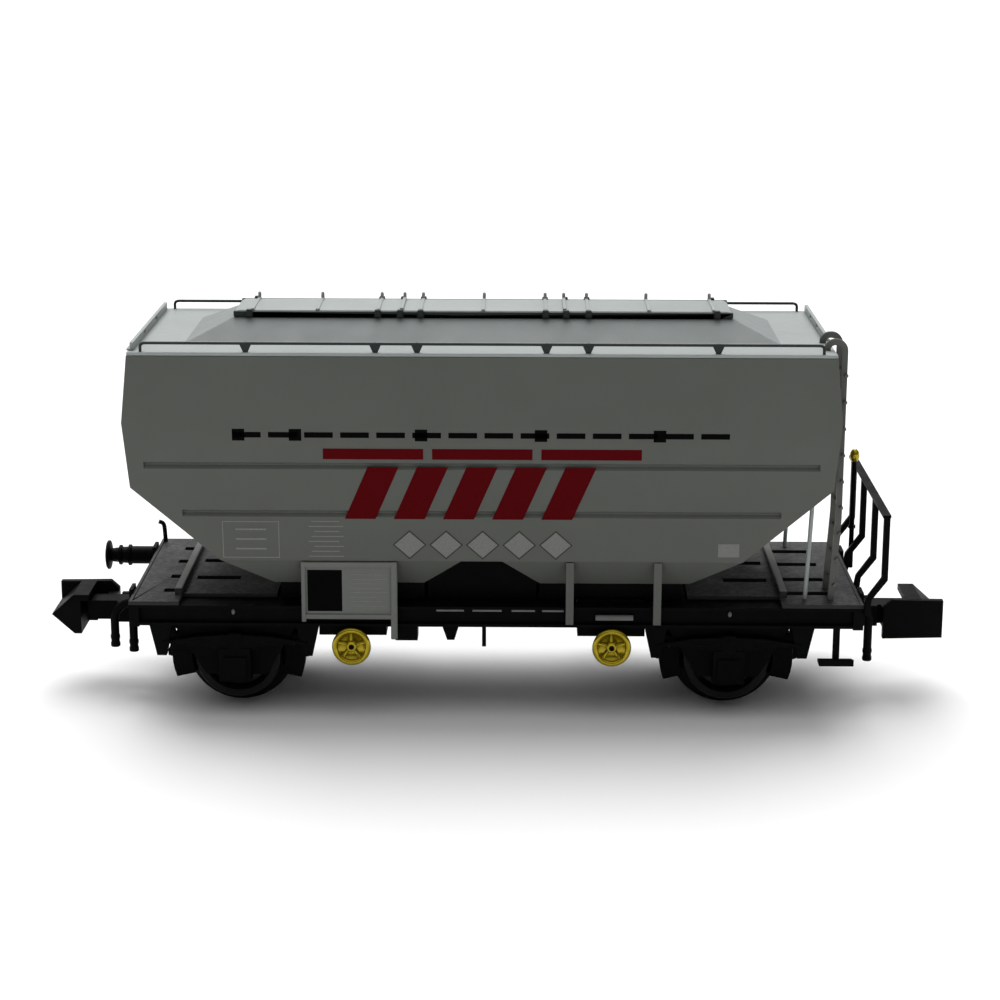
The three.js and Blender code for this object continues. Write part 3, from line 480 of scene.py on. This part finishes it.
# ------------------------------------------------------------------ rails, ladder and posts
def roof_rail(side, out):
    node = f"roof_rail_{side}"
    low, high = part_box(node)
    radius = 0.1 * MM
    y = (low.y + high.y) / 2
    level = high.z - radius
    left, right = low.x + radius, high.x - radius
    mid = (left + right) / 2
    mesh = bmesh.new()
    tube(
        mesh,
        [(left, y, low.z), (left, y, level), (right, y, level), (right, y, low.z)],
        radius, corner=0.35 * MM,
    )
    for distance in (4.35, 7.16, 15.88):
        for sign in (1, -1):
            x = mid + sign * distance * MM
            part = bmesh.new()
            corners = [(-0.16, 0.0), (0.16, 0.0), (0.42, 1.0), (-0.42, 1.0)]
            top = level - low.z
            face = [part.verts.new((x + a * MM, y - 0.06 * MM, low.z + b * top)) for a, b in corners]
            front = part.faces.new(face)
            back = bmesh.ops.extrude_face_region(part, geom=[front])["geom"]
            bmesh.ops.translate(
                part, vec=(0, 0.12 * MM, 0), verts=[v for v in back if isinstance(v, bmesh.types.BMVert)]
            )
            merge(mesh, part)
            dome(mesh, (x, y, level), 0.16 * MM, squash=(1.6, 0.8, 0.7))
    stand_in(new_piece(node + "_shape", mesh), node)


def end_ladder():
    """Flat stringers that bend over the eaves, with round rungs across their outer edges."""
    low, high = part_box("end_ladder")
    depth = 0.42 * MM
    half_width = 0.13 * MM
    stringers = (low.y + 0.34 * MM, high.y - 0.34 * MM)
    outer = high.x - 0.27 * MM
    deck = low.z
    lean = 0.35 * MM
    bend = deck + 5.77 * MM
    over = high.z - depth / 2
    eaves = high.z - 0.81 * MM
    inner = low.x + depth / 2
    line = rounded([
        (outer - lean, 0.0, deck), (outer, 0.0, bend), (outer, 0.0, over - 0.35 * MM),
        (outer - 0.35 * MM, 0.0, over), (inner + 0.3 * MM, 0.0, over),
        (inner, 0.0, over - 0.3 * MM), (inner, 0.0, eaves),
    ], 0.3 * MM)
    mesh = bmesh.new()
    for y in stringers:
        part = bmesh.new()
        edges = []
        for i, point in enumerate(line):
            along = (line[min(i + 1, len(line) - 1)] - line[max(i - 1, 0)]).normalized()
            across = Vector((along.z, 0.0, -along.x)) * depth / 2
            edges.append([
                part.verts.new((
                    point.x + sign * across.x, y + side * half_width, point.z + sign * across.z
                ))
                for sign, side in ((1, -1), (1, 1), (-1, 1), (-1, -1))
            ])
        for first, second in zip(edges, edges[1:]):
            for i in range(4):
                n = (i + 1) % 4
                part.faces.new((first[i], first[n], second[n], second[i]))
        part.faces.new(list(reversed(edges[0])))
        part.faces.new(edges[-1])
        merge(mesh, part)
    rung = deck + 1.1 * MM
    while rung < high.z - 0.7 * MM:
        x = outer + 0.14 * MM - lean * max(0.0, (bend - rung) / (bend - deck))
        tube(mesh, [(x, low.y, rung), (x, high.y, rung)], 0.12 * MM, sides=16)
        rung += 1.85 * MM
    # The ladder takes the darker body grey: painted shade for strips that stand in shade.
    stand_in(new_piece("end_ladder_shape", mesh), "end_ladder", "body_plastic")


def bar_piece(node, points, radius, material=None):
    """A node that is one bent round bar."""
    mesh = bmesh.new()
    tube(mesh, points, radius, sides=20)
    stand_in(new_piece(node + "_shape", mesh), node, material)


for side, out in SIDES.items():
    roof_rail(side, out)
    low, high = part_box(f"stay_post_{side}")
    post_y = (low.y + high.y) / 2
    post_radius = (high.y - low.y) / 2
    post_line = [(low.x + post_radius, post_y, low.z), (high.x - post_radius, post_y, high.z)]
    bar_piece(f"stay_post_{side}", post_line, post_radius, material="roof_plastic")
end_ladder()


def brake_column():
    low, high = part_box("brake_column")
    y = (low.y + high.y) / 2
    column = high.x - 0.36 * MM
    mesh = bmesh.new()
    tube(mesh, [(column, y, low.z), (column, y, high.z - 0.9 * MM)], 0.18 * MM, sides=20)
    tube(mesh, [(column, y, low.z + 3.0 * MM), (column, y, low.z + 3.2 * MM)], 0.27 * MM, sides=20)
    slab(mesh, (low.x, y - 0.2 * MM, low.z), (column, y + 0.2 * MM, low.z + 0.3 * MM))
    stand_in(new_piece("brake_column_shape", mesh), "brake_column")
    knob = bmesh.new()
    dome(
        knob, (column, y, high.z - 0.53 * MM), 0.35 * MM,
        squash=(1.0, 1.0, 1.48), rings=24, segments=32,
    )
    finish_piece(new_piece("brake_column_knob", knob), "wagon", "yellow_paint", "yellow_paint")


brake_column()

low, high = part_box("lamp_iron")
iron_y = (low.y + high.y) / 2
bar_piece("lamp_iron", [
    (high.x - 0.17 * MM, iron_y, low.z),
    (high.x - 0.25 * MM, iron_y, high.z - 0.3 * MM),
    (low.x + 0.06 * MM, iron_y, high.z - 0.17 * MM),
], 0.16 * MM)


# How far each hose of an end reaches out from the headstock, and the height it hangs down to.
HOSES = {"plain": ((0.58, 3.2), (1.85, 3.65)), "platform": ((1.12, 2.8),)}


def brake_hoses(end, out):
    """Hoses that leave the headstock level and hang down, each with a collar and a cuff."""
    node = f"brake_hose_{end}"
    low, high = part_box(node)
    radius = 0.3 * MM
    collar_radius = 0.34 * MM
    collar_width = 0.25 * MM
    start = low.x if out > 0 else high.x
    mesh = bmesh.new()
    for i, (reach, bottom) in enumerate(HOSES[end]):
        y = high.y - (0.32 + 0.28 * i) * MM
        level = high.z - (0.32 + 0.1 * i) * MM
        tip = start + out * reach * MM
        foot = bottom * MM
        tube(mesh, [
            (start, y, level), (start + out * reach * 0.55 * MM, y, level),
            (tip, y, level - 0.8 * MM), (tip, y, foot),
        ], radius, corner=0.5 * MM, sides=20)
        for z in (foot + 0.05 * MM, foot + 0.6 * MM):
            tube(mesh, [(tip, y, z), (tip, y, z + collar_width)], collar_radius, sides=20)
    stand_in(new_piece(node + "_shape", mesh), node)


for end, out in ENDS.items():
    brake_hoses(end, out)
    node = f"coupler_spring_{end}"
    low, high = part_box(node)
    wire = (high.z - low.z) / 2
    level = (low.z + high.z) / 2
    far = low.x + wire if out < 0 else high.x - wire
    near = high.x - wire if out < 0 else low.x + wire
    bar_piece(node, [
        (near, low.y + wire, level), (far, low.y * 0.6, level),
        (far, high.y * 0.6, level), (near, high.y - wire, level),
    ], wire * 0.95)


# ------------------------------------------------------------------ turned pieces
def wheel(end, side, out):
    node = f"wheel_{end}_{side}"
    low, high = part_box(node)
    centre = Vector(((low.x + high.x) / 2, 0.0, (low.z + high.z) / 2))
    flange = (high.z - low.z) / 2 - 0.01 * MM
    tread = flange - 0.75 * MM
    back = min(abs(low.y), abs(high.y))
    face = max(abs(low.y), abs(high.y))
    bore = 0.51 * MM
    profile = [
        (bore, back), (flange - 0.25 * MM, back), (flange - 0.08 * MM, back + 0.06 * MM),
        (flange, back + 0.22 * MM), (flange - 0.05 * MM, back + 0.38 * MM),
        (tread + 0.22 * MM, back + 0.6 * MM), (tread + 0.03 * MM, back + 0.75 * MM),
        (tread - 0.05 * MM, face - 0.12 * MM), (tread - 0.14 * MM, face),
        (tread - 0.55 * MM, face), (tread - 0.65 * MM, face - 0.08 * MM),
        (tread - 0.85 * MM, face - 0.42 * MM), (tread - 1.0 * MM, face - 0.5 * MM),
        (1.25 * MM, face - 0.5 * MM), (1.1 * MM, face - 0.42 * MM),
        (1.0 * MM, face - 0.05 * MM), (0.9 * MM, face), (bore, face), (bore, back),
    ]
    mesh = lathe([(radius, out * along) for radius, along in profile])
    stand_in(new_piece(node + "_shape", mesh, centre), node)


def axle(end):
    node = f"axle_{end}"
    low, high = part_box(node)
    centre = (low + high) / 2
    radius = (high.z - low.z) / 2
    half = (high.y - low.y) / 2
    cone = half - 1.1 * MM
    profile = [
        (0.0, -half), (0.06 * MM, -half + 0.03 * MM),
        (radius * 0.96, -cone), (radius, -cone + 0.08 * MM),
        (radius, cone - 0.08 * MM), (radius * 0.96, cone),
        (0.06 * MM, half - 0.03 * MM), (0.0, half),
    ]
    stand_in(new_piece(node + "_shape", lathe(profile, 64), centre), node)


def handwheel(end, side, out):
    """A dished wheel with five spokes, glossy yellow, with a dark hub nut."""
    node = f"handwheel_{end}_{side}"
    low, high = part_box(node)
    centre = Vector(((low.x + high.x) / 2, 0.0, (low.z + high.z) / 2))
    radius = (high.z - low.z) / 2
    outer_face = max(abs(low.y), abs(high.y))
    inner_end = min(abs(low.y), abs(high.y))
    rim_y = outer_face - 0.22 * MM
    bead = 0.2 * MM
    rim = radius - bead
    bead_steps = 20
    mesh = lathe([
        (rim + bead * math.cos(a), out * (rim_y + bead * math.sin(a)))
        for a in [2 * math.pi * i / bead_steps for i in range(bead_steps + 1)]
    ])
    hub = lathe([
        (0.0, out * inner_end), (0.2 * MM, out * inner_end), (0.2 * MM, out * (rim_y - 0.5 * MM)),
        (0.36 * MM, out * (rim_y - 0.44 * MM)), (0.36 * MM, out * (rim_y + 0.1 * MM)),
        (0.3 * MM, out * (rim_y + 0.16 * MM)), (0.0, out * (rim_y + 0.16 * MM)),
    ], 48)
    merge(mesh, hub)
    bowl = [(0.3, -0.3), (0.62, -0.28), (0.86, -0.18), (1.06, 0.0)]
    wall = 0.06
    loop = bowl + [(r, along - wall) for r, along in reversed(bowl)] + bowl[:1]
    merge(mesh, lathe([(r * MM, out * (rim_y + along * MM)) for r, along in loop]))
    spokes = 5
    for i in range(spokes):
        angle = math.pi / 2 + i * 2 * math.pi / spokes
        direction = Vector((math.cos(angle), 0.0, math.sin(angle)))
        sunk = Vector((0.0, out * (rim_y - 0.2 * MM), 0.0))
        level = Vector((0.0, out * rim_y, 0.0))
        spoke = [sunk + direction * 0.3 * MM, sunk + direction * 0.75 * MM, level + direction * rim]
        tube(mesh, spoke, 0.15 * MM, corner=0.2 * MM, sides=14, flatten=0.7)
    stand_in(new_piece(node + "_shape", mesh, centre), node)
    nut = lathe([
        (0.0, out * (rim_y + 0.1 * MM)), (0.19 * MM, out * (rim_y + 0.1 * MM)),
        (0.19 * MM, out * (rim_y + 0.18 * MM)), (0.14 * MM, out * (rim_y + 0.22 * MM)),
        (0.0, out * (rim_y + 0.22 * MM)),
    ], 32)
    finish_piece(
        new_piece(node + "_nut", nut, centre), body_of_node[node], "frame_plastic", "frame_plastic"
    )


for end in ENDS:
    axle(end)
    for side, out in SIDES.items():
        wheel(end, side, out)
        handwheel(end, side, out)


def buffer():
    """A round-headed buffer with collars along its barrel, turned about the X axis."""
    node = "buffer_plain_back"
    low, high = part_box(node)
    centre = Vector((high.x, (low.y + high.y) / 2, (low.z + high.z) / 2))
    length = high.x - low.x
    head = (high.z - low.z) / 2
    spigot = 0.34 * MM
    profile = [
        (0.0, 0.0), (spigot, 0.0), (spigot, 0.25 * MM), (0.62 * MM, 0.25 * MM), (0.66 * MM, 0.3 * MM),
        (0.66 * MM, 1.88 * MM), (0.78 * MM, 1.95 * MM), (0.78 * MM, 2.12 * MM), (0.62 * MM, 2.2 * MM),
        (0.6 * MM, 2.58 * MM), (0.74 * MM, 2.65 * MM), (0.74 * MM, 2.82 * MM), (0.55 * MM, 2.9 * MM),
        (0.5 * MM, 3.4 * MM), (head - 0.08 * MM, length - 0.36 * MM), (head, length - 0.3 * MM),
        (head, length - 0.18 * MM), (head - 0.1 * MM, length - 0.1 * MM),
        (head * 0.6, length - 0.03 * MM), (0.0, length),
    ]
    mesh = lathe(profile, 64)
    bmesh.ops.rotate(mesh, cent=(0, 0, 0), matrix=Matrix.Rotation(math.pi / 2, 3, "Z"), verts=mesh.verts)
    stand_in(new_piece(node + "_shape", mesh, centre), node)


buffer()


# ------------------------------------------------------------------ printed marks
body_low, body_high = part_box("body_shell")
MIDDLE_X = (body_low.x + body_high.x) / 2
FOLD_Z = 21.31 * MM
FOOT_HALF_Y = 8.5 * MM
PRINT = 0.012 * MM


def on_side(x, out):
    """x on the front side, or where it comes on the back after a half turn about the body's middle."""
    return x if out < 0 else 2 * MIDDLE_X - x


def wall_y(z):
    """Half-width of the lower side sheet at height z."""
    return FOOT_HALF_Y + (body_high.y - FOOT_HALF_Y) * (z - body_low.z) / (FOLD_Z - body_low.z)


def rectangle(left, right, bottom, top, slant=0.0):
    return [(left, bottom), (right, bottom), (right + slant, top), (left + slant, top)]


def frame_lines(left, right, bottom, top, line):
    return [
        rectangle(left, right, bottom, bottom + line), rectangle(left, right, top - line, top),
        rectangle(left, left + line, bottom + line, top - line),
        rectangle(right - line, right, bottom + line, top - line),
    ]


def diamond(x, z, half_width, half_height):
    return [(x - half_width, z), (x, z - half_height), (x + half_width, z), (x, z + half_height)]


def print_marks(name, shapes, material, lift=1.0, surface=wall_y):
    """Thin flat shapes of (x, z) points in mm on both sides of the wagon, half a turn apart."""
    for side, out in SIDES.items():
        mesh = bmesh.new()
        for shape in shapes:
            outer = []
            inner = []
            for x, z in shape:
                y = surface(z * MM)
                place = on_side(x * MM, out)
                outer.append(mesh.verts.new((place, out * (y + PRINT * lift), z * MM)))
                inner.append(mesh.verts.new((place, out * (y - PRINT), z * MM)))
            mesh.faces.new(outer)
            mesh.faces.new(list(reversed(inner)))
            for i in range(len(shape)):
                n = (i + 1) % len(shape)
                mesh.faces.new((outer[i], inner[i], inner[n], outer[n]))
        piece = new_piece(f"{name}_{side}", mesh)
        finish_piece(piece, "wagon", "body_plastic", material)


def stripe(left, right, bottom, top, dashes, gap):
    """A row of even dashes between left and right."""
    step = (right - left + gap) / dashes
    return [rectangle(left + i * step, left + (i + 1) * step - gap, bottom, top) for i in range(dashes)]


LINE_LEFT, LINE_RIGHT = -17.8, 15.75
LINE_BLOCKS = (-17.39, -13.55, -5.05, 3.03, 11.04)
print_marks(
    "mark_black_line",
    stripe(LINE_LEFT, LINE_RIGHT, 20.36, 20.74, 14, 0.5)
    + [rectangle(x - 0.42, x + 0.42, 20.14, 20.96) for x in LINE_BLOCKS],
    "ink_black",
)
print_marks("mark_red_line", stripe(-11.7, 9.85, 18.85, 19.6, 3, 0.6), "ink_red")
SLANT = 1.6
BARS = [-10.3 + i * 3.35 for i in range(5)]
print_marks(
    "mark_red_bars",
    [rectangle(x, x + 2.1, 14.6, 18.3, SLANT) for x in BARS],
    "ink_red",
)
PALE_DIAMONDS = [-5.9 + i * 2.5 for i in range(5)]
print_marks("mark_diamond_edges", [diamond(x, 12.75, 1.15, 1.05) for x in PALE_DIAMONDS], "ink_grey")
print_marks(
    "mark_diamonds", [diamond(x, 12.75, 1.03, 0.93) for x in PALE_DIAMONDS], "ink_pale", lift=1.6
)
print_marks(
    "mark_data_frame",
    frame_lines(-18.7, -14.8, 11.75, 14.4, 0.07)
    + [rectangle(-17.8, -15.7, z, z + 0.12) for z in (13.75, 13.05, 12.35)]
    + [rectangle(-12.8 + 0.2 * (i % 3), -10.4 - 0.3 * (i % 2), 11.85 + i * 0.36, 11.92 + i * 0.36)
       for i in range(8)],
    "ink_pale",
)
print_marks("mark_pale_patch", [rectangle(15.2, 16.65, 11.95, 12.9)], "ink_pale")


# ------------------------------------------------------------------ data panel
def sign_panel(side, out):
    """A framed sheet with a long leg at one end; it leans on the side sheet by its head."""
    node = f"sign_panel_{side}"
    low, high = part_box(node)
    inner, outer = sorted((low.y, high.y), key=abs)
    left, right = (low.x, high.x) if out < 0 else (high.x, low.x)
    along = 1 if out < 0 else -1
    foot = low.z + 1.42 * MM
    top = high.z
    mesh = bmesh.new()

    def part(x0, x1, y0, y1, z0, z1, bevel=0.04 * MM):
        xs = sorted((left + along * x0 * MM, left + along * x1 * MM))
        ys = sorted((out * y0, out * y1))
        slab(mesh, (xs[0], ys[0], z0), (xs[1], ys[1], z1), bevel)

    back, face = abs(inner) + 0.02 * MM, abs(outer)
    step = face - 0.12 * MM
    width = abs(right - left) / MM
    part(0.05, width - 0.05, back, step, foot + 0.05 * MM, top - 0.05 * MM)
    rail = face - 0.02 * MM
    part(0.1, width - 0.1, back, rail, top - 0.42 * MM, top - 0.02 * MM)
    part(0.1, width - 0.1, back, rail, foot + 0.02 * MM, foot + 0.38 * MM)
    part(0.0, 0.3, back + 0.01 * MM, face, foot - 0.18 * MM, top)
    part(width - 0.45, width, back + 0.01 * MM, face, low.z, top)
    stand_in(new_piece(node + "_shape", mesh), node, "panel_plastic")


for side, out in SIDES.items():
    sign_panel(side, out)


def panel_marks():
    low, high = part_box("sign_panel_front")
    face = -low.y
    left = low.x / MM
    sheet = face - 0.12 * MM
    window = [rectangle(left + 0.42, left + 2.8, 7.95, 10.9)]
    print_marks("panel_window", window, "ink_black", surface=lambda z: sheet)
    lines = [
        rectangle(
            left + 3.25 + 0.15 * (i % 2), left + 5.9 - 0.35 * (i % 3),
            8.3 + i * 0.32, 8.37 + i * 0.32,
        )
        for i in range(8)
    ]
    print_marks("panel_lines", lines, "ink_pale", surface=lambda z: sheet)


panel_marks()


# ------------------------------------------------------------------ small fittings and painted highlights on the frame
def bearer_caps():
    """Pale strip along the top of the raised bearer across each deck."""
    for end, middle in (("plain", -22.145), ("platform", 19.995)):
        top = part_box(f"end_deck_{end}")[1].z
        x = middle * MM
        mesh = bmesh.new()
        half_width, reach = 0.25 * MM, 6.55 * MM
        slab(
            mesh,
            (x - half_width, -reach, top - 0.06 * MM), (x + half_width, reach, top + 0.05 * MM),
        )
        piece = new_piece(f"deck_bearer_cap_{end}", mesh)
        finish_piece(piece, "wagon", "roof_plastic", "panel_plastic")


bearer_caps()


def frame_fittings_and_highlights():
    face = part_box("underframe")[1].y
    pale = bmesh.new()
    for out in SIDES.values():
        for x in (-18.2, 16.2):
            point = (on_side(x * MM, out), out * (face - 0.4 * MM), 7.65 * MM)
            dome(pale, point, 0.16 * MM, squash=(0.8, 0.6, 1.3))
        bar_y = out * (face - 0.1 * MM)
        tube(
            pale,
            [(on_side(x * MM, out), bar_y, 7.45 * MM) for x in (6.9, 9.5)],
            0.22 * MM, flatten=0.5,
        )
        # Painted highlight: four pale dashes along the top of the solebar stand in for the broken
        # highlight on its flange.
        for dash in ((-4.1, -2.2), (-1.6, 0.4), (1.1, 2.7), (3.2, 4.7)):
            tube(
                pale,
                [(on_side(x * MM, out), bar_y, 7.95 * MM) for x in dash],
                0.11 * MM, sides=12,
            )
    finish_piece(new_piece("frame_pale_fittings_and_highlights", pale), "wagon", "roof_plastic", "panel_plastic")


frame_fittings_and_highlights()


# ------------------------------------------------------------------ camera, floor and light
KEY = 3.0
KEY_SPREAD = 60.0
KEY_TOWARDS = (0.12, -0.60, -1.0)
HORIZON = 0.02
ZENITH = 0.9
BACK = 0.3
CAMERA = {
    "place": (0.001625, -0.16621, 0.05662), "lens": 86.1, "sensor": 36.0,
    "tilt": 75.53, "heading": 0.49, "roll": 0.16,
}


def make_camera():
    """Looks at the front side from a little above."""
    data = bpy.data.cameras.new("camera")
    data.lens = CAMERA["lens"]
    data.sensor_width = CAMERA["sensor"]
    data.clip_start = 5 * MM
    camera = bpy.data.objects.new("camera", data)
    camera.matrix_world = (
        Matrix.Translation(CAMERA["place"])
        @ Matrix.Rotation(math.radians(CAMERA["heading"]), 4, "Z")
        @ Matrix.Rotation(math.radians(CAMERA["tilt"]), 4, "X")
        @ Matrix.Rotation(math.radians(CAMERA["roll"]), 4, "Z")
    )
    bpy.context.scene.collection.objects.link(camera)
    bpy.context.scene.camera = camera


def make_floor():
    """A pale level sheet that curves up a little at its far edge all round."""
    mesh = bmesh.new()
    level_reach, full_reach, rise = 2.5, 4.5, 0.5
    profile = [
        (level_reach + (full_reach - level_reach) * t, rise * t ** 2)
        for t in (0.0, 0.25, 0.5, 0.75, 1.0)
    ]
    steps = 96
    angles = [2 * math.pi * k / steps for k in range(steps)]
    rings = [
        [mesh.verts.new((reach * math.cos(a), reach * math.sin(a), z)) for a in angles]
        for reach, z in profile
    ]
    mesh.faces.new(rings[0])
    for inner, outer in zip(rings, rings[1:]):
        for k in range(steps):
            n = (k + 1) % steps
            mesh.faces.new((inner[k], outer[k], outer[n], inner[n]))
    n = Nodes("floor")
    n.link(n.tint((0.9, 0.9, 0.9), n.span(n.noise(0.05), 0.99, 1.01)), n.shader.inputs["Base Color"])
    n.shader.inputs["Roughness"].default_value = 0.9
    n.shader.inputs["Specular IOR Level"].default_value = 0.1
    floor = new_piece("floor", mesh)
    floor.data.materials.append(n.material)
    floor.data.shade_smooth()


def make_key_light():
    """One very large soft source, high up behind the wagon."""
    data = bpy.data.lights.new("key", "SUN")
    data.energy = KEY
    data.angle = math.radians(KEY_SPREAD)
    light = bpy.data.objects.new("key", data)
    light.rotation_euler = Vector(KEY_TOWARDS).to_track_quat("-Z", "Y").to_euler()
    bpy.context.scene.collection.objects.link(light)


def make_world():
    """A pale studio sky, bright overhead and along the back, and dim on the front side."""
    world = bpy.data.worlds.new("studio")
    world.use_nodes = True
    tree = world.node_tree
    place = tree.nodes.new("ShaderNodeTexCoord")
    split = tree.nodes.new("ShaderNodeSeparateXYZ")
    tree.links.new(place.outputs["Generated"], split.inputs["Vector"])

    def glow(output, low, high, dim, bright):
        ramp = tree.nodes.new("ShaderNodeMapRange")
        ramp.interpolation_type = "SMOOTHSTEP"
        for name, value in (
            ("From Min", low), ("From Max", high), ("To Min", dim), ("To Max", bright)
        ):
            ramp.inputs[name].default_value = value
        tree.links.new(split.outputs[output], ramp.inputs["Value"])
        return ramp.outputs["Result"]

    total = tree.nodes.new("ShaderNodeMath")
    total.operation = "ADD"
    tree.links.new(glow("Z", 0.25, 0.95, HORIZON, ZENITH), total.inputs[0])
    tree.links.new(glow("Y", 0.55, 0.95, 0.0, BACK), total.inputs[1])
    tree.links.new(total.outputs["Value"], tree.nodes["Background"].inputs["Strength"])
    tree.nodes["Background"].inputs["Color"].default_value = (1.0, 1.0, 1.0, 1.0)
    bpy.context.scene.world = world


make_camera()
make_floor()
make_key_light()
make_world()
bpy.context.scene.view_settings.view_transform = "Standard"
